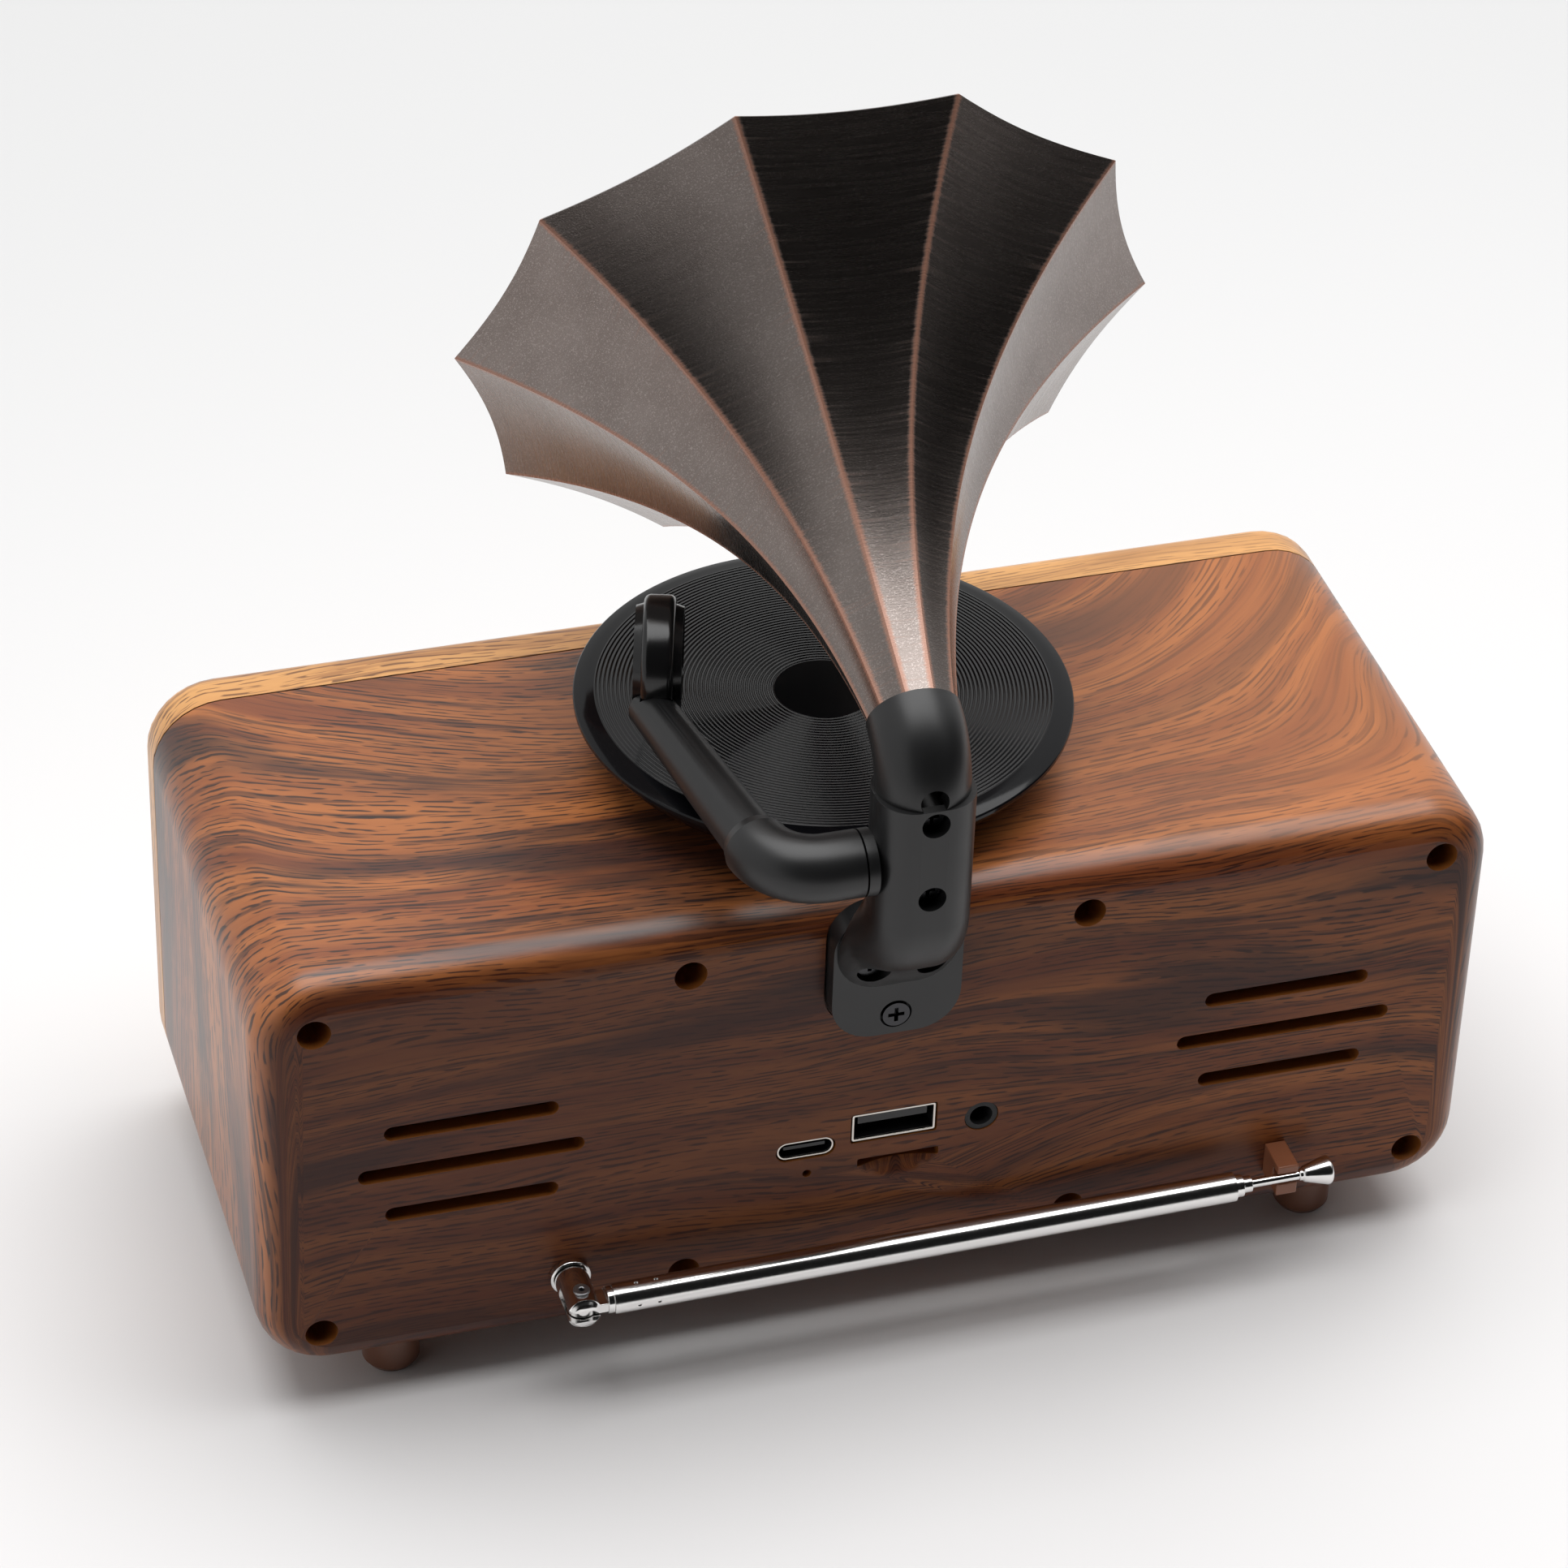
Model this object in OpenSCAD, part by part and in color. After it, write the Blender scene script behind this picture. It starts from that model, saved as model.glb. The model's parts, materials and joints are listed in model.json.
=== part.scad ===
// Gramophone-styled desktop loudspeaker with a platter, a horn and a telescopic antenna.
// Millimetres, +Z up, the front faces -Y, the origin is under the middle of the whole object.

/* [Cabinet] */
// Width of the cabinet
cab_w = 192; // [188:1:210]
// Depth of the cabinet, bezel included
cab_d = 82; // [80:1:90]
// Height of the cabinet without its feet
cab_h = 73.2; // [72:0.2:80]
// Radius of the four long corners
corner_r = 11; // [9:0.5:13]
// Radius of the rear edge
edge_r = 6; // [4:0.5:7]
// Wall thickness of the shell
wall = 2.8; // [2.4:0.1:3.2]
// Depth of the front bezel
bezel_d = 8.4; // [8:0.1:9]
// Height of the feet
foot_h = 8; // [6:0.5:12]
// Radius of the feet
foot_r = 4.4; // [3.5:0.1:5]
// Distance of a screw from the cabinet's middle, outer pair
screw_x = 87; // [86:0.5:88]
// Distance of a screw from the cabinet's middle, inner pair
screw_inner_x = 30.8; // [30:0.2:32]
// Height of a cabinet screw above the cabinet's bottom, and below its top
screw_z = 8; // [8:0.5:9]

/* [Vents] */
// Distance of the vent group from the middle
vent_x = 63.8; // [60:0.2:66]
// Height of a vent slot
vent_h = 2.6; // [2:0.1:3.2]

/* [Column] */
// Width of the column
col_w = 14.8; // [14:0.2:16]
// Depth of the column
col_d = 12.8; // [12:0.2:14]
// Distance of the column's axis behind the rear face
col_back = 10.1; // [10:0.1:12]
// Height of the seam between the column and the elbow
seam_z = 109.4; // [106:0.5:115]
// Width of the mounting plate
plate_w = 20; // [19:0.2:22]

/* [Horn] */
// Length of the horn along its axis
horn_len = 70.6; // [60:0.2:76]
// Distance from the horn's axis to a corner of the mouth
mouth_r = 53; // [45:0.5:56]
// Distance from the horn's axis to a corner of the neck
neck_r = 6.7; // [6.5:0.1:7]
// How fast the horn opens
flare = 3.24; // [2.5:0.02:3.6]
// Number of panels
panels = 10; // [8:1:12]
// How far a panel dips between two ribs at the mouth
panel_dip = 1.4; // [0:0.1:3]
// Wall thickness of the horn
horn_wall = 0.9; // [0.8:0.1:1.2]
// Angle of the horn's axis above level
horn_tilt = 21.7; // [15:0.1:35]
// Turn of the elbow and the horn about the column
horn_turn = -2.1; // [-5:0.1:5]

/* [Platter] */
// Radius of the platter
platter_r = 37.9; // [34:0.1:38]
// Height of the platter's top above the cabinet
platter_rise = 10.1; // [8:0.1:12]

/* [Tonearm] */
// Radius of the elbow of the arm
arm_r = 5; // [4.5:0.1:5.5]
// Height of the arm above the cabinet's top
arm_rise = 16.2; // [16:0.1:17]
// Angle of the arm outwards from straight ahead
arm_out = 8.9; // [6:0.1:11]
// Radius of the reproducer
repro_r = 9.2; // [8:0.1:9.4]

/* [Antenna] */
// Distance of the antenna's post from the middle
ant_x = 48.8; // [40:0.2:52]
// Height of the antenna's post above the cabinet's bottom
ant_rise = 11.5; // [9:0.5:14]
// Length of the antenna's outer tube
ant_len = 99.6; // [95:0.2:102]
// Angle by which the rod leans towards the rear face at rest
ant_in = 0.7; // [0.5:0.1:0.9]

/* [Controls] */
// Radius of the rotary knob
knob_r = 13; // [9:0.5:14]
// Travel of a key
key_travel = 0.8; // [0.4:0.1:0.8]
// Distance between two keys
key_pitch = 10; // [9:0.5:11]

/* [Hidden] */
$fn = 48;
hull_fn = 32;
gap = 0.3;
fit_gap = 0.05;
hair = 0.01;

// Cabinet
rear_y = 37;
front_y = rear_y - cab_d;
seam_y = front_y + bezel_d;
shell_front = seam_y + gap;
cab_bot = foot_h;
cab_top = cab_bot + cab_h;
cab_mid = (cab_bot + cab_top) / 2;
in_w = cab_w - 2 * wall;
in_h = cab_h - 2 * wall;
in_r = corner_r - wall;
in_rear = rear_y - wall;
floor_z = cab_bot + wall;
screw_places = [
    for (x = [-screw_x, -screw_inner_x, screw_inner_x, screw_x])
        for (z = [cab_bot + screw_z, cab_top - screw_z]) [x, z]
];
tube_r = 3.3;
tube_end = -20;
seat_y = -16;
screw_bore = 2.5;
vents = [[13.2, 44.5], [17.2, 36.9], [13.2, 29]];
foot_x = 74.3;
foot_rear = 27;
foot_front = -29;

// Ports, as x and height above the cabinet's bottom
usb_a = [-1.75, 30.6];
usb_c = [12.1, 28.2];
jack = [-15.7, 29.1];
card = [-2.6, 23.8];
led = [11.8, 23.5];
usb_a_size = [13.2, 5.1];
usb_c_size = [8.9, 3.2];
card_size = [12.9, 1.6];
scoop_r = 17;
scoop_up = 5.2;
scoop_depth = 2.2;
jack_r = 1.8;
board_y = 20;
board_t = 1.6;
board_x = [-28, 26];
board_z = [24.5, 53.5];
socket_y = board_y + board_t;
post_places = [
    for (x = [board_x[0] + 2.5, board_x[1] - 2.5])
        for (z = [board_z[0] + 2.5, board_z[1] - 2.5]) [x, z]
];

// Column
col_y = rear_y + col_back;
neck_z = 88;
plate_back = rear_y - 0.8;
plate_face = rear_y + 3.2;
plate_bot = 59;
plate_top = 82;
plate_corner = 7;
pocket = 0.8;
mount_places = [[0, 62.6], [-4.5, 72.9], [4.5, 72.9]];
mount_seat = plate_face - 1.2;
col_screw_z = [93.8, 106.9];
arm_z = cab_top + arm_rise;
// Slices of the gooseneck, from the column to the plate: its turn about the bend's middle,
// the distance of its own middle from there, its width, its height and its corner radius
goose = [
    [0, 7.2, col_w, col_d, 5.4],
    [24, 7, 15.4, 13, 5.8],
    [47, 7.2, 16.4, 13, 6.2],
    [69, 8.1, 17.6, 11.4, 5.6],
    [80, 9.9, 18.4, 11.8, 5.8],
    [90, 13.1, 19.2, 14, 6.9]
];

// Elbow and horn
elbow_r = 7;
elbow_y = col_y + col_d / 2 - elbow_r;
elbow_bore = 4;
elbow_arc = 7.6;
elbow_turn = 90 - horn_tilt;
sleeve = 1.5;
neck_y = elbow_y - elbow_arc * (1 - cos(elbow_turn)) - sleeve * sin(elbow_turn);
neck_top = seam_z + elbow_arc * sin(elbow_turn) + sleeve * cos(elbow_turn);
horn_rings = 14;
panel_steps = 3;
horn_slow = 0.54;

// Platter
platter_x = -0.9;
platter_y = -3.5;
platter_top = cab_top + platter_rise;
spindle_r = 1.5;

// Tonearm
bush_x = col_w / 2;
bush_r = 3;
arm_x = bush_x + 1.9;
arm_corner = 21.2;
arm_arc = 8.5;
arm_turn = 90 - arm_out;
arm_leg = arm_arc * tan(arm_turn / 2);
arm_dir = [sin(arm_out), -cos(arm_out), 0];
arm_seam = arm_leg + 1.6;
tube_len = 36;
repro_at = [25.2, -3.1, arm_z + 4.6];
repro_turn = -17.6;
repro_t = 4.8;
ring_r = 7.9;
ring_t = 1.2;

// Antenna
ant_y = rear_y + 7.2;
ant_z = cab_bot + ant_rise;
post_r = 2.65;
post_end = ant_y + 2.9;
tongue_t = 1.6;
fork_gap = 2;
pin_r = 0.8;
ant_r = [2.35, 1.8, 1.3, 0.75];
ant_from = [4.8, 14.5, 17, 20];
ant_to = [for (step = [0, 1.4, 2.9, 10.8]) ant_from[0] + ant_len + step];
crimps = [3.7, 6.8];
tip_len = 5.3;
clip_x = -64.5;
clip_depth = 6.2;

// Front
board_w = 166;
board_h = 50;
open_w = 160;
open_h = 44;
grille_y = seam_y - 2.6;
cloth_y = grille_y - 0.8;
panel_w = 56;
panel_h = 42;
panel_y = cloth_y - 1.5;
cutout = [50, 38];
driver_x = 58;
driver_r = 21.8;
driver_screw_r = 20.2;
knob_z = cab_mid + 6;
key_z = cab_mid - 14.5;
key_count = 5;
key_r = 3.2;
knob_tip_y = -(col_y + col_d / 2);
key_board_y = -32;
panel_posts = [[-21.5, key_z + 7.8], [21.5, key_z + 7.8]];

// ---- Helpers ----

// Cylinder along Y from y0 to y1
module y_cyl(x, z, y0, y1, r) {
    translate([x, y1, z]) rotate([90, 0, 0]) cylinder(h = y1 - y0, r = r);
}

// Cylinder along X from x0 to x1
module x_cyl(x0, x1, y, z, r) {
    translate([x0, y, z]) rotate([0, 90, 0]) cylinder(h = x1 - x0, r = r);
}

// Flat outline with round corners
module round_rect(w, h, r) {
    square([w - 2 * r, h], center = true);
    square([w, h - 2 * r], center = true);
    for (x = [-1, 1])
        for (y = [-1, 1])
            translate([x * (w / 2 - r), y * (h / 2 - r)]) circle(r);
}

// Upright slab with round corners, from y0 to y1
module slab(x, z, y0, y1, w, h, r) {
    translate([x, y1, z]) rotate([90, 0, 0]) linear_extrude(y1 - y0) round_rect(w, h, r);
}

// Plain box between two corners
module block(low, high) {
    translate(low) cube(high - low);
}

// Screw pointing along -Y, with its head's underside at y
module screw(x, z, y, length, shank_r = 1.2, head_r = 2, head_h = 1.4) {
    difference() {
        union() {
            y_cyl(x, z, y, y + head_h, head_r);
            y_cyl(x, z, y - length, y + hair, shank_r);
        }
        for (turn = [0, 90])
            translate([x, y + head_h, z]) rotate([0, turn, 0])
                cube([head_r * 1.2, head_h * 1.4, head_r * 0.3], center = true);
    }
}

// Places its children for all eight cabinet screws
module at_cabinet_screws() {
    for (p = screw_places) translate([p[0], 0, p[1]]) children();
}

// ---- Cabinet ----

// Half outline of a corner that is round both ways
module corner_half(r) {
    intersection() {
        translate([corner_r - r, 0]) circle(r, $fn = hull_fn);
        translate([0, -r]) square([corner_r, 2 * r]);
    }
}

// Outer form of the shell, with the rear edge rounded
module cabinet_outer() {
    hull() {
        for (x = [-1, 1])
            for (z = [cab_bot + corner_r, cab_top - corner_r])
                translate([x * (cab_w / 2 - corner_r), 0, z]) rotate([90, 0, 0]) {
                    translate([0, 0, edge_r - rear_y]) rotate_extrude($fn = hull_fn) corner_half(edge_r);
                    translate([0, 0, -shell_front - 1]) cylinder(h = 1, r = corner_r, $fn = hull_fn);
                }
    }
}

// Shallow dish for a fingertip under the card slot
module card_scoop() {
    line_z = cab_bot + card[1] - card_size[1] / 2 + 0.1;
    half = card_size[0] / 2;
    intersection() {
        translate([card[0], rear_y + scoop_r - scoop_depth, line_z + scoop_up]) sphere(r = scoop_r);
        block([card[0] - half, rear_y - 3, line_z - half], [card[0] + half, rear_y + 1, line_z]);
    }
}

module vent_slots() {
    for (side = [-1, 1])
        for (v = vents)
            slab(side * vent_x, cab_bot + v[1], in_rear - 1, rear_y + 1,
                2 * v[0], vent_h, vent_h / 2 - hair);
}

module port_holes() {
    slab(usb_a[0], cab_bot + usb_a[1], in_rear - 1, rear_y + 1,
        usb_a_size[0] + 0.5, usb_a_size[1] + 0.5, 0.5);
    slab(usb_c[0], cab_bot + usb_c[1], in_rear - 1, rear_y + 1,
        usb_c_size[0] + 0.5, usb_c_size[1] + 0.5, 1.8);
    slab(card[0], cab_bot + card[1], in_rear - 1, rear_y + 1, card_size[0], card_size[1], 0.4);
    y_cyl(jack[0], cab_bot + jack[1], in_rear - 1, rear_y + 1, 2.7);
    y_cyl(led[0], cab_bot + led[1], in_rear - 1, rear_y + 1, 0.7);
}

module cabinet_shell() {
    color("sienna") difference() {
        union() {
            difference() {
                cabinet_outer();
                slab(0, cab_mid, front_y - 1, in_rear, in_w, in_h, in_r);
            }
            at_cabinet_screws() y_cyl(0, 0, tube_end, in_rear + hair, tube_r);
            for (p = post_places) y_cyl(p[0], p[1], socket_y, in_rear + hair, 2.5);
            for (p = mount_places) y_cyl(p[0], p[1], 25, in_rear + hair, 3);
        }
        at_cabinet_screws() {
            y_cyl(0, 0, seat_y, rear_y + 1, screw_bore);
            y_cyl(0, 0, tube_end - 1, seat_y + 1, 1.4);
        }
        for (p = post_places) y_cyl(p[0], p[1], socket_y - 1, in_rear - 4, 1.05);
        vent_slots();
        port_holes();
        card_scoop();
        slab(0, (plate_bot + plate_top) / 2, rear_y - pocket, rear_y + 1,
            plate_w + 0.6, plate_top - plate_bot + 0.6, plate_corner);
        for (p = mount_places) y_cyl(p[0], p[1], 26, rear_y + 1, 1.25);
        y_cyl(ant_x, ant_z, in_rear - 1, rear_y + 1, 1.6);
        translate([platter_x, platter_y, cab_top - wall - 1]) cylinder(h = wall + 2, r = 4);
        for (x = [-1, 1])
            for (y = [foot_front, foot_rear])
                translate([x * foot_x, y, cab_bot - 1]) cylinder(h = wall + 2, r = 1.4);
    }
}

module front_bezel() {
    front_round = 4;
    color("peru") difference() {
        union() {
            hull() for (a = [0 : 18 : 90]) {
                inset = front_round * (1 - cos(a));
                slab(0, cab_mid, front_y + front_round * (1 - sin(a)), seam_y,
                    cab_w - 2 * inset, cab_h - 2 * inset, corner_r - inset, $fn = hull_fn);
            }
            for (side = [-1, 1]) {
                translate([0, seam_y + 1.4, cab_mid + side * (in_h / 2 - 0.8)])
                    cube([156, 3, 1.2], center = true);
                translate([side * (in_w / 2 - 0.8), seam_y + 1.4, cab_mid])
                    cube([1.2, 3, 44], center = true);
            }
            at_cabinet_screws() y_cyl(0, 0, seam_y - hair, tube_end - 0.1, tube_r);
        }
        slab(0, cab_mid, front_y - 1, seam_y + 1, open_w, open_h, 5);
        slab(0, cab_mid, grille_y - 0.1, seam_y + 1, board_w + 0.4, board_h - 1.2, 3);
        at_cabinet_screws() y_cyl(0, 0, seam_y - 1.5, tube_end + 1, 1.25);
    }
}

module cabinet_screws() {
    color("dimgray") for (p = screw_places) screw(p[0], p[1], seat_y, 19);
}

module foot(side, y) {
    color("saddlebrown") difference() {
        union() {
            translate([side * foot_x, y, 1]) cylinder(h = foot_h - 1, r = foot_r);
            translate([side * foot_x, y, 0]) cylinder(h = 1 + hair, r1 = foot_r - 0.7, r2 = foot_r);
        }
        translate([side * foot_x, y, 2]) cylinder(h = foot_h, r = 1.25);
    }
}

module foot_screws() {
    color("dimgray")
        for (x = [-1, 1])
            for (y = [foot_front, foot_rear])
                translate([x * foot_x, y, floor_z]) rotate([90, 0, 0]) screw(0, 0, 0, 8);
}

// ---- Column, elbow and horn ----

// Outline of the column, seen along its axis
module column_outline() {
    round_rect(col_w, col_d, 5.4);
}

module goose_slice(s) {
    translate([0, col_y - goose[0][1], neck_z]) rotate([-s[0], 0, 0])
        translate([0, s[1], 0]) linear_extrude(0.2, center = true)
            round_rect(s[2], s[3], s[4], $fn = hull_fn);
}

module gooseneck() {
    for (i = [0 : len(goose) - 2])
        hull() {
            goose_slice(goose[i]);
            goose_slice(goose[i + 1]);
        }
}

module mount_plate() {
    slab(0, (plate_bot + plate_top) / 2, plate_back, plate_face,
        plate_w, plate_top - plate_bot, plate_corner - 0.3);
}

module column_tube() {
    translate([0, col_y, neck_z - hair]) linear_extrude(seam_z - neck_z + hair) column_outline();
}

module column_hollow() {
    translate([0, col_y, neck_z + 1.5]) linear_extrude(seam_z) round_rect(col_w - 3, col_d - 3, 3.9);
}

module column_rear() {
    color([0.08, 0.08, 0.08]) difference() {
        union() {
            difference() {
                intersection() {
                    column_tube();
                    block([-50, col_y, 0], [50, col_y + 50, 200]);
                }
                column_hollow();
            }
            intersection() {
                column_tube();
                block([-50, 0, 0], [50, col_y + 50, neck_z + 1.5]);
            }
            gooseneck();
            mount_plate();
            for (z = col_screw_z) y_cyl(0, z, col_y, col_y + col_d / 2 - 0.5, 2.45);
        }
        for (z = col_screw_z) {
            y_cyl(0, z, col_y + 2.8, col_y + 20, 2.1);
            y_cyl(0, z, col_y - 1, col_y + 3, 1.3);
        }
        for (p = mount_places) {
            y_cyl(p[0], p[1], plate_back - 1, plate_face + 1, 1.3);
            y_cyl(p[0], p[1], mount_seat, plate_face + 20, 2.45);
        }
        x_cyl(bush_x - 4, bush_x + 5, col_y, arm_z, bush_r);
    }
}

module column_front() {
    color([0.08, 0.08, 0.08]) difference() {
        union() {
            difference() {
                intersection() {
                    column_tube();
                    block([-50, 0, neck_z + 1.6], [50, col_y - 0.05, 200]);
                }
                column_hollow();
            }
            for (z = col_screw_z) y_cyl(0, z, col_y - col_d / 2 + 0.5, col_y - 0.05, 2.45);
        }
        for (z = col_screw_z) y_cyl(0, z, col_y - 4.4, col_y + 1, 1.15);
        x_cyl(bush_x - 4, bush_x + 5, col_y, arm_z, bush_r);
    }
}

module column_screws() {
    color("dimgray") for (z = col_screw_z) screw(0, z, col_y + 2.8, 6.8, 1.1, 1.9, 1.3);
}

module mount_screws() {
    color("dimgray") for (p = mount_places) screw(p[0], p[1], mount_seat, 12, 1.2, 2.1, 1.4);
}

// Bent round bar of radius r along the elbow, with a straight sleeve of radius r_end
module elbow_bar(r, r_end, extra) {
    translate([0, elbow_y - elbow_arc, seam_z]) {
        rotate([90, 0, 90]) rotate_extrude(angle = elbow_turn) translate([elbow_arc, 0]) circle(r);
        rotate([elbow_turn, 0, 0]) translate([0, elbow_arc, -0.2])
            cylinder(h = sleeve + 0.2 + extra, r = r_end);
    }
}

// The elbow and the horn sit turned a little on the column
module at_turned_elbow() {
    translate([0, elbow_y, 0]) rotate([0, 0, horn_turn]) translate([0, -elbow_y, 0]) children();
}

module horn_elbow() {
    color([0.08, 0.08, 0.08]) at_turned_elbow() difference() {
        elbow_bar(elbow_r, elbow_r - 0.05, 0);
        elbow_bar(elbow_bore, elbow_bore + 0.2, 1);
        translate([0, elbow_y, seam_z - 1]) cylinder(h = 1.2, r = elbow_bore - 0.2);
        y_cyl(0, seam_z + 1.3, elbow_y, elbow_y + 20, 2.1);
    }
}

// Share of the horn's length at step t, from the neck (0) to the mouth (1)
function horn_reach(t) = horn_slow * t + (1 - horn_slow) * t * t;
function horn_radius(t) = neck_r + (mouth_r - neck_r) * (exp(flare * t) - 1) / (exp(flare) - 1);
function horn_slope(t) = (mouth_r - neck_r) * flare * exp(flare * t) / (exp(flare) - 1)
    / ((horn_slow + 2 * (1 - horn_slow) * t) * horn_len);

// Point of a ring: k counts round the ring, and a panel dips between its two ribs
function ring_point(t, k, inward) =
    let (step = 360 / panels)
    let (part = (k % panel_steps) / panel_steps)
    let (rib = floor(k / panel_steps) * step)
    let (r = horn_radius(t) - inward)
    let (a = [cos(rib), sin(rib)] * r)
    let (b = [cos(rib + step), sin(rib + step)] * r)
    let (flat = a * (1 - part) + b * part)
    let (dip = 4 * part * (1 - part) * panel_dip * r / mouth_r)
    let (p = flat * (1 - dip / norm(flat)))
    [p[0], p[1], horn_reach(t) * horn_len];

module horn_shell() {
    count = panels * panel_steps;
    steps = [for (i = [0 : horn_rings]) i / horn_rings];
    outer = [for (t = steps) for (k = [0 : count - 1]) ring_point(t, k, 0)];
    inner = [for (t = steps) for (k = [0 : count - 1])
        ring_point(t, k, horn_wall * sqrt(1 + horn_slope(t) * horn_slope(t)))];
    base = len(outer);
    last = horn_rings * count;
    polyhedron(
        points = concat(outer, inner),
        faces = concat(
            [for (i = [0 : horn_rings - 1]) for (k = [0 : count - 1]) let (n = (k + 1) % count)
                [i * count + k, (i + 1) * count + k, i * count + n]],
            [for (i = [0 : horn_rings - 1]) for (k = [0 : count - 1]) let (n = (k + 1) % count)
                [(i + 1) * count + k, (i + 1) * count + n, i * count + n]],
            [for (i = [0 : horn_rings - 1]) for (k = [0 : count - 1]) let (n = (k + 1) % count)
                [base + i * count + k, base + i * count + n, base + (i + 1) * count + k]],
            [for (i = [0 : horn_rings - 1]) for (k = [0 : count - 1]) let (n = (k + 1) % count)
                [base + (i + 1) * count + k, base + i * count + n, base + (i + 1) * count + n]],
            [for (k = [0 : count - 1]) let (n = (k + 1) % count) [k, n, base + k]],
            [for (k = [0 : count - 1]) let (n = (k + 1) % count) [n, base + n, base + k]],
            [for (k = [0 : count - 1]) let (n = (k + 1) % count)
                [last + k, base + last + k, last + n]],
            [for (k = [0 : count - 1]) let (n = (k + 1) % count)
                [last + n, base + last + k, base + last + n]]
        )
    );
}

module horn() {
    color([0.2, 0.15, 0.12]) at_turned_elbow() translate([0, neck_y, neck_top]) rotate([elbow_turn, 0, 0])
        union() {
            horn_shell();
            difference() {
                union() {
                    translate([0, 0, -1.4]) cylinder(h = 2, r = elbow_bore - 0.15);
                    cylinder(h = 0.8, r = neck_r - 0.6);
                }
                translate([0, 0, -3]) cylinder(h = 5, r = 3.2);
            }
        }
}

// ---- Tonearm ----

module arm_bush() {
    color([0.1, 0.1, 0.1]) difference() {
        union() {
            x_cyl(bush_x, arm_x - 0.3, col_y, arm_z, arm_r);
            x_cyl(bush_x - 2.5, bush_x + hair, col_y, arm_z, bush_r);
        }
        x_cyl(bush_x - 4, arm_x + 1, col_y, arm_z, 2 + fit_gap);
    }
}

module arm_elbow() {
    color([0.08, 0.08, 0.08]) union() {
        x_cyl(bush_x - 2.5, arm_x + 0.5, col_y, arm_z, 2);
        x_cyl(arm_x, arm_corner - arm_leg + hair, col_y, arm_z, arm_r);
        translate([arm_corner - arm_leg, col_y - arm_arc, arm_z]) rotate([0, 0, 90 - arm_turn])
            rotate_extrude(angle = arm_turn) translate([arm_arc, 0]) circle(arm_r);
        translate([arm_corner, col_y, arm_z] + arm_dir * (arm_leg - hair)) rotate([90, 0, arm_out])
            cylinder(h = arm_seam - arm_leg, r1 = arm_r, r2 = arm_r - 0.5);
    }
}

// The reproducer's own place: X is its axis, Z is up
module at_reproducer() {
    translate(repro_at) rotate([0, 0, repro_turn]) children();
}

module arm_tube() {
    color([0.08, 0.08, 0.08]) difference() {
        translate([arm_corner, col_y, arm_z] + arm_dir * (arm_seam + 0.02)) rotate([90, 0, arm_out])
            cylinder(h = tube_len, r1 = 4.15, r2 = 3.4);
        at_reproducer() {
            x_cyl(-repro_t / 2 - 0.02, repro_t / 2 + 0.02, 0, 0, repro_r + 0.02);
            x_cyl(-repro_t / 2 - ring_t - 0.02, repro_t / 2 + ring_t + 0.02, 0, 0, ring_r + 0.1);
        }
    }
}

module reproducer() {
    half = repro_t / 2;
    round_r = 1;
    color([0.08, 0.08, 0.08]) at_reproducer() rotate([0, 90, 0]) {
        translate([0, 0, -half + round_r]) cylinder(h = repro_t - 2 * round_r, r = repro_r);
        for (side = [-1, 1])
            translate([0, 0, side * (half - round_r)]) mirror([0, 0, side < 0 ? 1 : 0]) {
                translate([0, 0, -hair]) cylinder(h = round_r + hair, r = repro_r - round_r);
                rotate_extrude() translate([repro_r - round_r, 0]) intersection() {
                    circle(round_r);
                    square(round_r);
                }
            }
    }
}

module reproducer_ring(side) {
    color([0.1, 0.1, 0.1]) at_reproducer() rotate([0, 90, 0]) mirror([0, 0, side < 0 ? 1 : 0])
        translate([0, 0, repro_t / 2]) difference() {
            cylinder(h = ring_t, r1 = ring_r, r2 = ring_r - 0.4);
            translate([0, 0, ring_t - 0.5]) cylinder(h = 1, r = ring_r - 1.4);
        }
}

module needle() {
    color("silver") translate([repro_at[0], repro_at[1], platter_top + 0.5])
        cylinder(h = repro_at[2] - repro_r - platter_top - 0.5, r1 = 0.25, r2 = 0.5);
}

// ---- Platter ----

module platter() {
    low = cab_top + 1.1;
    color([0.05, 0.05, 0.06]) translate([platter_x, platter_y, 0]) difference() {
        rotate_extrude() polygon([
            [0, low], [20, low], [30, low + 1.6], [35, low + 4], [platter_r - 0.6, low + 6.6],
            [platter_r, low + 7.6], [platter_r, platter_top - 0.7],
            [platter_r - 2.1, platter_top], [0, platter_top]
        ]);
        translate([0, 0, low - 1]) cylinder(h = 6, r = spindle_r);
    }
}

module platter_spindle() {
    color("silver") translate([platter_x, platter_y, 65]) cylinder(h = cab_top + 6 - 65, r = spindle_r);
}

module spindle_bush() {
    color("goldenrod") translate([platter_x, platter_y, 0]) difference() {
        union() {
            translate([0, 0, cab_top - wall]) cylinder(h = wall + hair, r = 4);
            translate([0, 0, cab_top]) cylinder(h = 0.6, r = 6);
        }
        translate([0, 0, cab_top - 10]) cylinder(h = 20, r = spindle_r + fit_gap);
    }
}

module platter_motor() {
    color("silver") translate([platter_x, platter_y, 0]) difference() {
        union() {
            translate([0, 0, 62]) cylinder(h = 10, r = 12);
            translate([0, 0, 72 - hair]) cylinder(h = cab_top - wall - 72 + hair, r = 7);
        }
        translate([0, 0, 64.5]) cylinder(h = 20, r = spindle_r + fit_gap);
    }
}

// ---- Antenna ----

// The rod's own place: it points along -X from the pin
module at_rod() {
    translate([ant_x, ant_y, ant_z]) rotate([0, 0, ant_in]) children();
}

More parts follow.
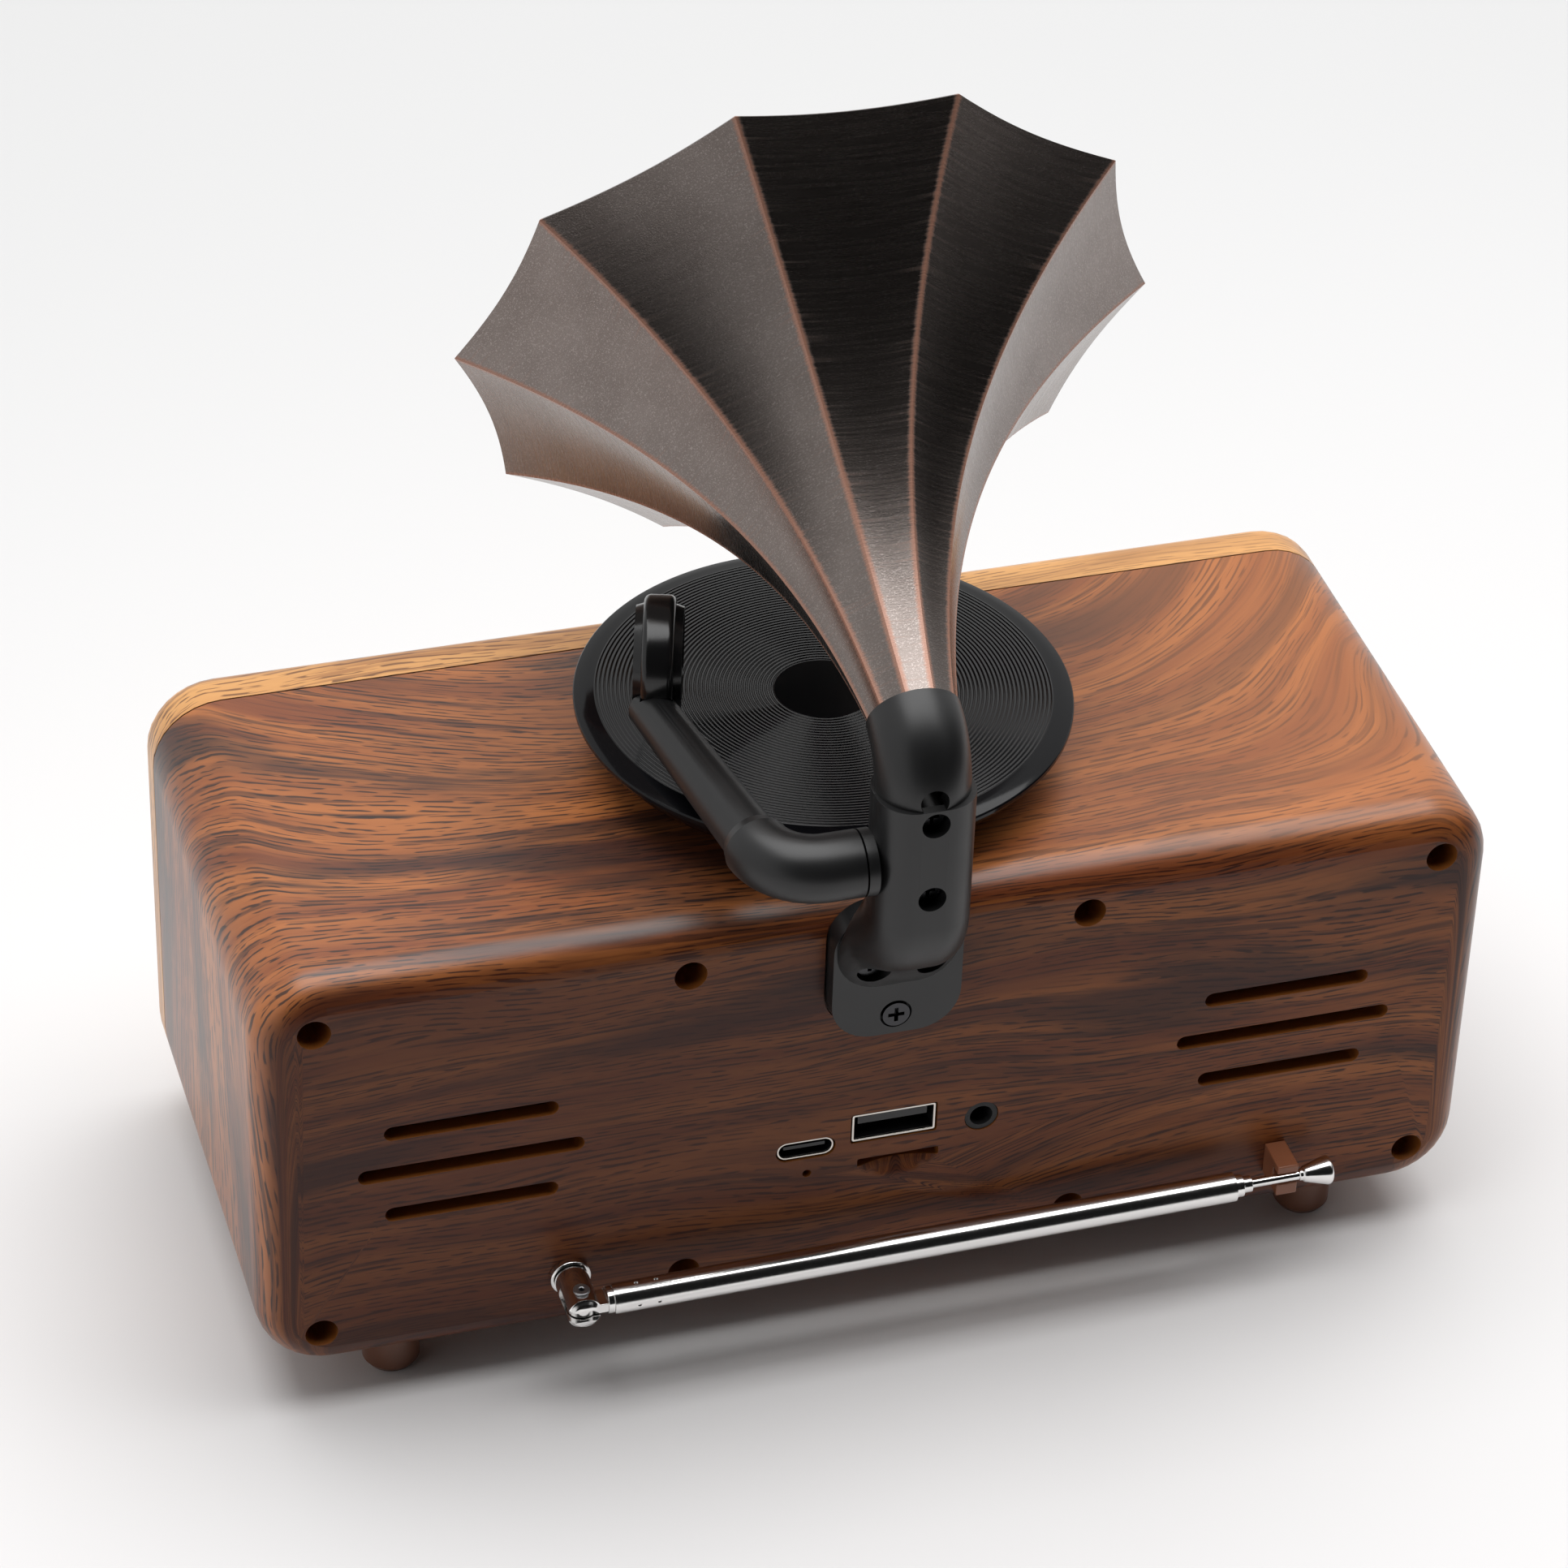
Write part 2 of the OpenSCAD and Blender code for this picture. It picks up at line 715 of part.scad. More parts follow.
module antenna_flange() {
    color("silver") difference() {
        union() {
            y_cyl(ant_x, ant_z, rear_y, rear_y + 1.2, 3.15);
            y_cyl(ant_x, ant_z, in_rear - 0.8, rear_y + hair, 1.6 - hair);
        }
        y_cyl(ant_x, ant_z, in_rear - 3, rear_y + 3, 1.2 + fit_gap);
    }
}

module antenna_post() {
    color("silver") difference() {
        union() {
            y_cyl(ant_x, ant_z, rear_y + 1.5, post_end - 0.8, post_r);
            translate([ant_x, post_end - 0.8 - hair, ant_z]) rotate([-90, 0, 0])
                cylinder(h = 0.8, r1 = post_r, r2 = post_r - 0.7);
            y_cyl(ant_x, ant_z, in_rear - 4.4, rear_y + 1.5 + hair, 1.2);
        }
        block([ant_x - 5, ant_y - 3.1, ant_z - fork_gap / 2],
            [ant_x + 5, post_end + 1, ant_z + fork_gap / 2]);
        translate([ant_x, ant_y, ant_z - 5]) cylinder(h = 10, r = pin_r);
    }
}

module antenna_nut() {
    color("silver") difference() {
        translate([ant_x, in_rear - 1.2, ant_z]) rotate([90, 0, 0]) cylinder(h = 2, r = 3, $fn = 6);
        y_cyl(ant_x, ant_z, in_rear - 5, in_rear, 1.2);
    }
}

module antenna_pin() {
    color("gray") translate([ant_x, ant_y, 0]) difference() {
        union() {
            translate([0, 0, ant_z - post_r]) cylinder(h = 2 * post_r, r = pin_r);
            translate([0, 0, ant_z + post_r]) cylinder(h = 0.4, r = 1.3);
            translate([0, 0, ant_z - post_r - 0.4]) cylinder(h = 0.4, r = 1.3);
        }
        translate([0, 0, ant_z - 5]) cylinder(h = 10, r = 0.4);
    }
}

module antenna_plug() {
    color("silver") at_rod() difference() {
        union() {
            intersection() {
                union() {
                    cylinder(h = tongue_t, r = 2.2, center = true);
                    translate([-2, 0, 0]) cube([4, 3.6, tongue_t], center = true);
                }
                block([-4, -2.4, -tongue_t / 2], [4, 2.4, tongue_t / 2]);
            }
            x_cyl(-ant_from[0], -3.8, 0, 0, 2.1);
            x_cyl(-ant_from[1] + 0.5, -ant_from[0] + hair, 0, 0, ant_r[1] + fit_gap);
        }
        cylinder(h = 10, r = pin_r + fit_gap, center = true);
    }
}

// Small dents that hold the outer tube on its plug
module crimp_dents() {
    for (along = crimps)
        for (turn = [0 : 90 : 270])
            translate([-ant_from[0] - along, 0, 0]) rotate([turn, 0, 0])
                translate([0, 0, ant_r[0] - 0.2]) cylinder(h = 1, r = 0.35, $fn = 24);
}

module antenna_tube(i) {
    color("silver") at_rod() difference() {
        x_cyl(-ant_to[i], -ant_from[i], 0, 0, ant_r[i]);
        x_cyl(-ant_to[i] - 1, -ant_from[i] + 1, 0, 0, ant_r[i + 1] + fit_gap);
        if (i == 0) crimp_dents();
    }
}

module antenna_rod() {
    color("silver") at_rod() x_cyl(-ant_to[3], -ant_from[3], 0, 0, ant_r[3]);
}

module antenna_knob() {
    color("silver") at_rod() translate([-ant_to[3], 0, 0]) rotate([0, -90, 0])
        rotate_extrude() polygon([
            [0, 0], [0.95, 0], [0.95, 0.5], [1.25, 0.8], [2.3, tip_len - 0.8], [2.3, tip_len - 0.3],
            [1.9, tip_len], [0, tip_len]
        ]);
}

module antenna_clip() {
    color("saddlebrown") difference() {
        block([clip_x - 1.7, rear_y, ant_z - 3.2],
            [clip_x + 1.7, rear_y + clip_depth, ant_z + 2.4]);
        block([clip_x - 3, rear_y + clip_depth - 2.1, ant_z - 1],
            [clip_x + 3, rear_y + clip_depth + 1, ant_z + 1]);
    }
}

// ---- Front ----

module grille_board() {
    color([0.15, 0.12, 0.1]) difference() {
        slab(0, cab_mid, grille_y, seam_y, board_w, board_h - 1.6, 3);
        slab(0, cab_mid, grille_y - 1, seam_y + 1, cutout[0], cutout[1], 3);
        for (side = [-1, 1]) {
            y_cyl(side * driver_x, cab_mid, grille_y - 1, seam_y + 1, 17);
            for (turn = [45 : 90 : 315])
                y_cyl(side * driver_x + driver_screw_r * cos(turn), cab_mid + driver_screw_r * sin(turn),
                    grille_y + 0.8, seam_y + 1, 0.95);
        }
    }
}

module grille_cloth() {
    color("tan") difference() {
        slab(0, cab_mid, cloth_y, grille_y, open_w - 0.4, open_h - 0.4, 4.8);
        slab(0, cab_mid, cloth_y - 1, grille_y + 1, cutout[0], cutout[1], 3);
    }
}

module control_panel() {
    color("peru") difference() {
        union() {
            slab(0, cab_mid, panel_y, cloth_y, panel_w, panel_h, 5);
            for (p = panel_posts) y_cyl(p[0], p[1], cloth_y - hair, key_board_y, 2);
        }
        y_cyl(0, knob_z, panel_y - 1, cloth_y + 1, 3.6);
        for (i = [0 : key_count - 1])
            y_cyl((i - 2) * key_pitch, key_z, panel_y - 1, cloth_y + 1, key_r + 0.3);
        for (p = panel_posts) y_cyl(p[0], p[1], key_board_y - 5, key_board_y + 1, 0.9);
    }
}

module rotary_knob() {
    skirt_y = panel_y - 0.6;
    color([0.72, 0.5, 0.33]) difference() {
        union() {
            y_cyl(0, knob_z, skirt_y - 2, skirt_y, knob_r);
            y_cyl(0, knob_z, knob_tip_y + 1, skirt_y - 2 + hair, knob_r - 1.6);
            translate([0, knob_tip_y + 1, knob_z]) rotate([90, 0, 0])
                cylinder(h = 1, r1 = knob_r - 1.6, r2 = knob_r - 2.6);
        }
        y_cyl(0, knob_z, knob_tip_y + 3, skirt_y + 1, 3);
    }
}

module knob_shaft() {
    color("silver") y_cyl(0, knob_z, knob_tip_y + 3, -31, 3);
}

module encoder() {
    color("gray") difference() {
        union() {
            slab(0, knob_z, -34.5, -28, 13, 13, 0.5);
            y_cyl(0, knob_z, cloth_y, -34.5 + hair, 5);
        }
        y_cyl(0, knob_z, cloth_y - 1, -30.7, 3 + fit_gap);
    }
}

module key(i) {
    color([0.72, 0.5, 0.33]) {
        y_cyl((i - 3) * key_pitch, key_z, panel_y - 1.6, cloth_y + 0.5, key_r);
        y_cyl((i - 3) * key_pitch, key_z, cloth_y + 0.4, cloth_y + 1.2, key_r + 0.7);
        y_cyl((i - 3) * key_pitch, key_z, cloth_y + 1.1, key_board_y - 3.5, 1.2);
    }
}

module key_board() {
    color("darkgreen") difference() {
        union() {
            block([-25, key_board_y, key_z - 4], [25, key_board_y + 1.6, key_z + 10.5]);
            for (i = [0 : key_count - 1])
                block([(i - 2) * key_pitch - 2.2, key_board_y - 2.3, key_z - 2.2],
                    [(i - 2) * key_pitch + 2.2, key_board_y + hair, key_z + 2.2]);
        }
        for (p = panel_posts) y_cyl(p[0], p[1], key_board_y - 1, key_board_y + 3, 1.1);
    }
}

// ---- Drivers ----

// Places its children on both drivers, with Z pointing into the cabinet
module at_drivers() {
    for (side = [-1, 1]) translate([side * driver_x, seam_y, cab_mid]) rotate([-90, 0, 0]) children();
}

module driver_frames() {
    color("dimgray") at_drivers() difference() {
        rotate_extrude() polygon([
            [17, 0], [driver_r, 0], [driver_r, 1.6], [18.5, 1.6], [13, 13], [13, 15],
            [6, 15], [6, 14], [11.6, 14], [11.6, 12.6], [17, 1.6]
        ]);
        for (turn = [45 : 90 : 315])
            translate([driver_screw_r * cos(turn), driver_screw_r * sin(turn), -1])
                cylinder(h = 4, r = 1.05);
    }
}

module driver_cones() {
    color([0.1, 0.1, 0.1]) at_drivers()
        rotate_extrude() polygon([
            [0, 5.5], [3, 6], [5.5, 8], [14, 1.2], [15, 0.5], [16, 0.5], [16.8, 1.2],
            [16.8, 1.8], [15.5, 1.2], [14.4, 2], [5.5, 9], [5.5, 13], [5, 13], [5, 9], [0, 9]
        ]);
}

module driver_magnets() {
    color("gray") at_drivers()
        rotate_extrude() polygon([[0, 15.2], [15, 15.2], [15, 23], [13, 24], [0, 24]]);
}

module driver_screws() {
    color("dimgray") for (side = [-1, 1])
        for (turn = [45 : 90 : 315])
            screw(side * driver_x + driver_screw_r * cos(turn), cab_mid + driver_screw_r * sin(turn),
                seam_y + 1.6, 3.2, 0.9, 1.4, 1);
}

// ---- Boards and sockets ----

module main_board() {
    color("darkgreen") difference() {
        union() {
            block([board_x[0], board_y, board_z[0]], [board_x[1], board_y + board_t, board_z[1]]);
            block([-8, board_y - 1.2, 42], [2, board_y + hair, 50]);
            y_cyl(16, 47, board_y + board_t - hair, board_y + 8, 2.5);
        }
        for (p = post_places) y_cyl(p[0], p[1], board_y - 1, board_y + 3, 1.2);
    }
}

module board_screws() {
    color("dimgray") mirror([0, 1, 0]) for (p = post_places) screw(p[0], p[1], -board_y, 7, 1, 1.8, 1.2);
}

module usb_a_socket() {
    z = cab_bot + usb_a[1];
    color("silver") union() {
        difference() {
            slab(usb_a[0], z, socket_y, rear_y - 0.2, usb_a_size[0], usb_a_size[1], 0.4);
            slab(usb_a[0], z, socket_y + 1.5, rear_y + 1, usb_a_size[0] - 0.7, usb_a_size[1] - 0.7, 0.2);
        }
        block([usb_a[0] - 5.5, socket_y + 1, z + 0.1], [usb_a[0] + 5.5, rear_y - 1, z + 1.9]);
    }
}

module usb_c_socket() {
    z = cab_bot + usb_c[1];
    color("silver") union() {
        difference() {
            slab(usb_c[0], z, socket_y, rear_y - 0.3, usb_c_size[0], usb_c_size[1], 1.55);
            slab(usb_c[0], z, socket_y + 1.5, rear_y + 1, usb_c_size[0] - 0.6, usb_c_size[1] - 0.6, 1.25);
        }
        block([usb_c[0] - 3.3, socket_y + 1, z - 0.35], [usb_c[0] + 3.3, rear_y - 1, z + 0.35]);
    }
}

module line_jack() {
    z = cab_bot + jack[1];
    color([0.1, 0.1, 0.1]) difference() {
        union() {
            block([jack[0] - 3.2, socket_y, z - 3], [jack[0] + 3.2, in_rear - 0.2, z + 3]);
            y_cyl(jack[0], z, in_rear - 0.3, rear_y - 0.2, 2.6);
        }
        y_cyl(jack[0], z, socket_y + 1, rear_y + 1, jack_r);
    }
}

module card_socket() {
    z = cab_bot + card[1];
    color("silver") difference() {
        slab(card[0], z, socket_y, in_rear - 0.1, card_size[0] + 1.6, 2.6, 0.3);
        slab(card[0], z, socket_y + 1.5, in_rear + 1, card_size[0] - 1.4, 1, 0.2);
    }
}

module battery() {
    color("steelblue") translate([0, -1, floor_z + 1.2]) linear_extrude(9) round_rect(48, 28, 3);
}

module battery_tray() {
    color([0.12, 0.12, 0.12]) translate([0, -1, floor_z]) difference() {
        linear_extrude(6) round_rect(51, 31, 4);
        translate([0, 0, 1.2]) linear_extrude(6) round_rect(48.4, 28.4, 3.2);
    }
}

cabinet_shell();
front_bezel();
cabinet_screws();
foot(1, foot_rear);  // foot_rear_left
foot(-1, foot_rear);  // foot_rear_right
foot(1, foot_front);  // foot_front_left
foot(-1, foot_front);  // foot_front_right
foot_screws();
column_rear();
column_front();
column_screws();
mount_screws();
horn_elbow();
horn();
arm_bush();
arm_elbow();
arm_tube();
reproducer();
reproducer_ring(-1);  // reproducer_ring_inner
reproducer_ring(1);  // reproducer_ring_outer
needle();
platter();
platter_spindle();
spindle_bush();
platter_motor();
antenna_flange();
antenna_post();
antenna_nut();
antenna_pin();
antenna_plug();
antenna_tube(0);  // antenna_tube_1
antenna_tube(1);  // antenna_tube_2
antenna_tube(2);  // antenna_tube_3
antenna_rod();
antenna_knob();
antenna_clip();
grille_board();
grille_cloth();
control_panel();
rotary_knob();
knob_shaft();
encoder();
key(1);  // key_1
key(2);  // key_2
key(3);  // key_3
key(4);  // key_4
key(5);  // key_5
key_board();
driver_frames();
driver_cones();
driver_magnets();
driver_screws();
main_board();
board_screws();
usb_a_socket();
usb_c_socket();
line_jack();
card_socket();
battery();
battery_tray();
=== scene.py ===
"""Looks for a gramophone-styled desktop loudspeaker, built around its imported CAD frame.

Named lengths are in millimetres. The front faces -Y, the width runs along X, and +Z is up.
"""

import json
import math

import bmesh
import bpy
from mathutils import Matrix, Vector

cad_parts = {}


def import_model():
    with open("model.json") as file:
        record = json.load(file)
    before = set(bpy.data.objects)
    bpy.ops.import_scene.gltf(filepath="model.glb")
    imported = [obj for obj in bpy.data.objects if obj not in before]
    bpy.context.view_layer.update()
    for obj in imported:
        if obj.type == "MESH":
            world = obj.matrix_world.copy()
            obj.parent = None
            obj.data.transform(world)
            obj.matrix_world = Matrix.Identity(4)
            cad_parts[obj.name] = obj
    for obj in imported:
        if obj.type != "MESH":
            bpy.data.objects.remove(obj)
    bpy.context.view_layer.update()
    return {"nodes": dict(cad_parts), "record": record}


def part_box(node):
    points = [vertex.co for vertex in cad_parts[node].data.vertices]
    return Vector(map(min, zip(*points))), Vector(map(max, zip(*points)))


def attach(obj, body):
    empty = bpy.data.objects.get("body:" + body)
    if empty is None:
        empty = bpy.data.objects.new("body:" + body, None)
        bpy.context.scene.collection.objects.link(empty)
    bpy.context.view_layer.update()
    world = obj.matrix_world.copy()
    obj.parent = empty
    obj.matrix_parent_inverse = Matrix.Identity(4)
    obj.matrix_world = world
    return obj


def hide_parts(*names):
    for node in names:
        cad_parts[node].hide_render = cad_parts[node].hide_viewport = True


MM = 0.001

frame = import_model()
NODES = frame["nodes"]
BODY_OF = {node: body for body, nodes in frame["record"]["behaviour"]["bodies"].items() for node in nodes}
SLOT_OF = {part["node"]: part["material_slot"] for part in frame["record"]["subparts"]}


# ---- Camera ----

CAMERA_AZIMUTH, CAMERA_ELEVATION, CAMERA_ROLL = 162.44, 36.36, 2.08
CAMERA_TARGET = (17.65, 37.0, 105.71)
CAMERA_DISTANCE = 804.45
CAMERA_LENS, SENSOR_WIDTH = 129.03, 36


def make_camera():
    """The camera stands behind the object and above it, a little toward +X, and is rolled slightly."""
    azimuth, elevation, roll = map(math.radians, (CAMERA_AZIMUTH, CAMERA_ELEVATION, CAMERA_ROLL))
    back = Vector((math.sin(azimuth) * math.cos(elevation),
                   -math.cos(azimuth) * math.cos(elevation),
                   math.sin(elevation)))
    right = Vector((0, 0, 1)).cross(back).normalized()
    up = back.cross(right)
    x_axis = math.cos(roll) * right + math.sin(roll) * up
    y_axis = -math.sin(roll) * right + math.cos(roll) * up
    turn = Matrix((x_axis, y_axis, back)).transposed().to_4x4()
    place = Vector(CAMERA_TARGET) * MM + back * CAMERA_DISTANCE * MM
    camera = bpy.data.objects.new("camera", bpy.data.cameras.new("camera"))
    camera.matrix_world = Matrix.Translation(place) @ turn
    camera.data.lens = CAMERA_LENS
    camera.data.sensor_width = SENSOR_WIDTH
    bpy.context.scene.collection.objects.link(camera)
    bpy.context.scene.camera = camera


make_camera()


# ---- Node trees ----

class Nodes:
    """Short calls that add nodes to a node tree."""

    def __init__(self, node_tree):
        self.nodes = node_tree.nodes
        self.links = node_tree.links

    def set(self, node, socket, value):
        """Links value if it is an output, or stores it on the socket."""
        if isinstance(value, bpy.types.NodeSocket):
            self.links.new(value, node.inputs[socket])
        else:
            node.inputs[socket].default_value = value

    def node(self, kind, inputs=None, **settings):
        """Adds a node, with values or links for its sockets and settings of its own."""
        node = self.nodes.new(kind)
        for key, value in settings.items():
            setattr(node, key, value)
        for socket, value in (inputs or {}).items():
            self.set(node, socket, value)
        return node

    def math(self, operation, first, second=0.0, third=0.0, clamp=False):
        sockets = {0: first, 1: second, 2: third}
        return self.node("ShaderNodeMath", sockets, operation=operation, use_clamp=clamp).outputs[0]

    def add(self, first, second):
        return self.math("ADD", first, second)

    def subtract(self, first, second):
        return self.math("SUBTRACT", first, second)

    def divide(self, first, second):
        return self.math("DIVIDE", first, second)

    def multiply(self, first, *others):
        for other in others:
            first = self.math("MULTIPLY", first, other)
        return first

    def ramp(self, value, slope, start, clamp=False):
        """start + slope x value."""
        return self.math("MULTIPLY_ADD", value, slope, start, clamp)

    def absolute(self, value):
        return self.math("ABSOLUTE", value)

    def step(self, value, low, high):
        """Smooth 0 to 1 as value goes from low to high. low may be the larger of the two."""
        sockets = {"Value": value, "From Min": low, "From Max": high}
        return self.node("ShaderNodeMapRange", sockets, interpolation_type="SMOOTHSTEP").outputs[0]

    def mix(self, share, first, second):
        """Colour from first (share 0) to second (share 1)."""
        sockets = {0: share, 6: first, 7: second}
        return self.node("ShaderNodeMix", sockets, data_type="RGBA").outputs[2]

    def vector(self, x, y, z=0.0):
        return self.node("ShaderNodeCombineXYZ", {"X": x, "Y": y, "Z": z}).outputs[0]

    def split(self, vector):
        """x, y and z of a vector."""
        return list(self.node("ShaderNodeSeparateXYZ", {0: vector}).outputs)

    def noise(self, vector, scale=1.0, detail=2.0):
        sockets = {"Vector": vector, "Scale": scale, "Detail": detail}
        return self.node("ShaderNodeTexNoise", sockets).outputs["Fac"]


MATERIALS = {}


class Finish(Nodes):
    """A material with one Principled shader, kept in MATERIALS under its name."""

    def __init__(self, name, **sockets):
        self.material = bpy.data.materials.new(name)
        self.material.use_nodes = True
        MATERIALS[name] = self.material
        super().__init__(self.material.node_tree)
        self.shader = self.nodes["Principled BSDF"]
        self.shade(**sockets)

    def shade(self, **sockets):
        """Sets or links sockets of the shader, named with _ for a space."""
        for socket, value in sockets.items():
            self.set(self.shader, socket.replace("_", " "), value)

    def place(self):
        """x, y and z of the shaded point at rest, in millimetres."""
        metres = self.node("ShaderNodeTexCoord").outputs["Object"]
        sockets = {0: metres, 1: (1 / MM,) * 3}
        return self.split(self.node("ShaderNodeVectorMath", sockets, operation="MULTIPLY").outputs[0])

    def facing(self):
        """x, y and z of the surface's direction."""
        return self.split(self.node("ShaderNodeTexCoord").outputs["Normal"])

    def speckle(self, scale, detail=2.0):
        """Noise with the same look in every direction, of about scale spots to a millimetre."""
        return self.noise(self.vector(*self.place()), scale, detail)

    def bump(self, height, depth, strength):
        """Relief that follows a height. A height of 1 stands for depth millimetres."""
        sockets = {"Height": height, "Distance": depth * MM, "Strength": strength}
        self.shade(Normal=self.node("ShaderNodeBump", sockets).outputs[0])


def rgb(red, green, blue):
    return (red, green, blue, 1.0)


def scaled(colour, factor):
    """The colour, made darker or lighter by a factor."""
    return rgb(*(factor * channel for channel in colour[:3]))


# ---- Wood ----

CABINET_TOP = 81

# The bend of the printed grain near the ends of the top
BEND_START = 32
BEND_FADE = (36, -12)
BEND_CENTRE_Y = -80
GRAIN_SHIFT = 160

# The walls of cut openings lie within these limits of the cabinet's outline
CUT_X = 91.0
CUT_MIDDLE_Z, CUT_HEIGHT = 44.6, 32.8
CUT_BLUR = 0.4

PORE_PITCH = 0.85
PORE_SHADE = 0.55
# Painted light: the top of the wood grows lighter toward -X
PAINTED_LIGHT_X, PAINTED_LIGHT_SHARE, PAINTED_LIGHT_SCALE = (20, -90), 0.38, 1.15
# Painted shade on the rear of the wood: how strongly it darkens, more toward +X, and its colour
REAR_SHADE_X, REAR_SHADE_START, REAR_SHADE_GAIN = (-90, 60), 0.4, 0.3
REAR_PAINTED_SHADE = rgb(0.040, 0.009, 0.005)
CUT_BROWN = rgb(0.20, 0.065, 0.012)


def grain(tree, along, across, light, mid, dark):
    """Colour of printed wood: soft bands, long lines and short pores that all run along the grain."""
    wander = tree.noise(tree.vector(tree.multiply(along, 0.012), tree.multiply(across, 0.03)), detail=1)
    across = tree.add(across, tree.multiply(wander, 16))

    def streaks(length, width, detail, offset=0.0):
        """Noise in streaks of a length and width. Each offset gives another pattern."""
        place = tree.vector(tree.divide(along, length), tree.divide(across, width), offset)
        return tree.noise(place, detail=detail)

    tone = tree.step(streaks(length=90, width=6, detail=5), 0.32, 0.66)
    band = tree.step(streaks(length=75, width=11, detail=5, offset=7.0), 0.48, 0.66)
    line = tree.step(streaks(length=36, width=1.1, detail=3, offset=13.0), 0.52, 0.64)
    dash = tree.step(streaks(length=5, width=0.62, detail=1, offset=19.0), 0.45, 0.54)
    pore_area = tree.step(streaks(length=34, width=8, detail=2, offset=23.0), 0.30, 0.48)
    sway = streaks(length=30, width=5, detail=2, offset=29.0)

    turns = tree.ramp(across, 2 * math.pi / PORE_PITCH, tree.multiply(sway, 22))
    thread = tree.step(tree.math("SINE", turns), 0.0, 0.8)
    pore = tree.multiply(thread, dash, pore_area)

    colour = tree.mix(tone, mid, light)
    colour = tree.mix(tree.multiply(band, 0.80), colour, dark)
    colour = tree.mix(tree.multiply(line, 0.62), colour, dark)
    return tree.mix(tree.multiply(pore, 0.86), colour, scaled(dark, PORE_SHADE))


def grain_flow(tree, bend):
    """Places along and across the grain. It runs along X, and down the two ends of the cabinet.

    Near the ends of the top it bends away from the rear by two shares, for the ends at +X and -X.
    """
    x, y, z = tree.place()
    past = tree.math("MAXIMUM", tree.subtract(tree.absolute(x), BEND_START), 0)
    share = tree.ramp(tree.step(x, -1, 1), bend[0] - bend[1], bend[1])
    share = tree.multiply(share, tree.step(y, *BEND_FADE))
    ahead = tree.subtract(y, BEND_CENTRE_Y)
    bent = tree.multiply(share, tree.multiply(past, past))
    ahead = tree.math("SQRT", tree.ramp(ahead, ahead, bent))

    on_end = tree.step(tree.absolute(tree.facing()[0]), 0.0, 0.5)
    below = tree.subtract(CABINET_TOP, z)
    level = tree.multiply(below, tree.subtract(1, on_end))
    across = tree.subtract(GRAIN_SHIFT, tree.add(ahead, level))
    down = tree.multiply(below, on_end, tree.math("SIGN", x))
    return tree.add(x, down), across


def cut_walls(tree):
    """1 on the walls of slots, sockets and screw holes, and 0 on the outer skin."""
    x, _, z = tree.place()
    within_x = tree.step(tree.absolute(x), CUT_X, CUT_X - CUT_BLUR)
    from_middle = tree.absolute(tree.subtract(z, CUT_MIDDLE_Z))
    within_z = tree.step(from_middle, CUT_HEIGHT, CUT_HEIGHT - CUT_BLUR)
    turned = tree.step(tree.absolute(tree.facing()[1]), 0.85, 0.7)
    return tree.multiply(within_x, within_z, turned)


def wood(name, light, mid, dark, bend=(0.0, 0.0)):
    """Printed wood film over moulded plastic.

    The top grows lighter toward -X, which is painted light, and the rear is darker, which is painted
    shade, and also duller. Both follow how the real object looks from the camera's side.
    """
    tree = Finish(name, Roughness=0.36, Coat_Roughness=0.28)
    x = tree.place()[0]
    _, facing_y, facing_z = tree.facing()
    along, across = grain_flow(tree, bend)
    colour = grain(tree, along, across, light, mid, dark)

    # Painted light: the top grows lighter toward -X
    painted_light_top = tree.multiply(tree.step(x, *PAINTED_LIGHT_X), tree.step(facing_z, 0.5, 0.9))
    colour = tree.mix(tree.multiply(painted_light_top, PAINTED_LIGHT_SHARE), colour, scaled(light, PAINTED_LIGHT_SCALE))

    # Painted shade: the rear face is darkened, more toward +X
    rear = tree.step(facing_y, 0.55, 0.95)
    rear_painted_shade = tree.multiply(rear, tree.ramp(tree.step(x, *REAR_SHADE_X), REAR_SHADE_GAIN, REAR_SHADE_START))
    colour = tree.mix(rear_painted_shade, colour, REAR_PAINTED_SHADE)

    tree.shade(Base_Color=tree.mix(cut_walls(tree), colour, CUT_BROWN),
               Specular_IOR_Level=tree.ramp(rear, -0.28, 0.5),
               Coat_Weight=tree.ramp(rear, -0.14, 0.18))
    tree.bump(tree.speckle(3), 0.03, 0.25)


# ---- Other materials ----

PLATTER_X, PLATTER_Y = -0.9, -3.5
RING_PITCH = 0.65
RINGS_FROM, RINGS_TO = (7.4, 7.8), (34.8, 34.4)
LABEL_EDGE = (7.7, 7.4)
SOCKET_FACE = (36.35, 36.45)
THREAD_PITCH = 0.45
MOTTLE = 0.15
BRONZE_DARK, BRONZE_LIGHT = rgb(0.15, 0.125, 0.113), rgb(0.235, 0.202, 0.186)
BRONZE_FLECK, WORN_COPPER = rgb(0.42, 0.37, 0.35), rgb(0.36, 0.185, 0.13)
# Inside a socket the black is partly its own black parts and partly painted shade in the recess
SOCKET_BLACK_AND_SHADE, SOCKET_SHELL = rgb(0.010, 0.010, 0.011), rgb(0.66, 0.62, 0.57)


def black(name, shade=0.008, roughness=0.37):
    """Black moulded or painted surface, finely textured, with a gloss that varies a little."""
    tree = Finish(name, Base_Color=rgb(shade, shade, shade * 1.05))
    tree.shade(Roughness=tree.ramp(tree.speckle(0.12), 0.12, roughness - 0.06))
    tree.bump(tree.speckle(6), 0.02, 0.35)


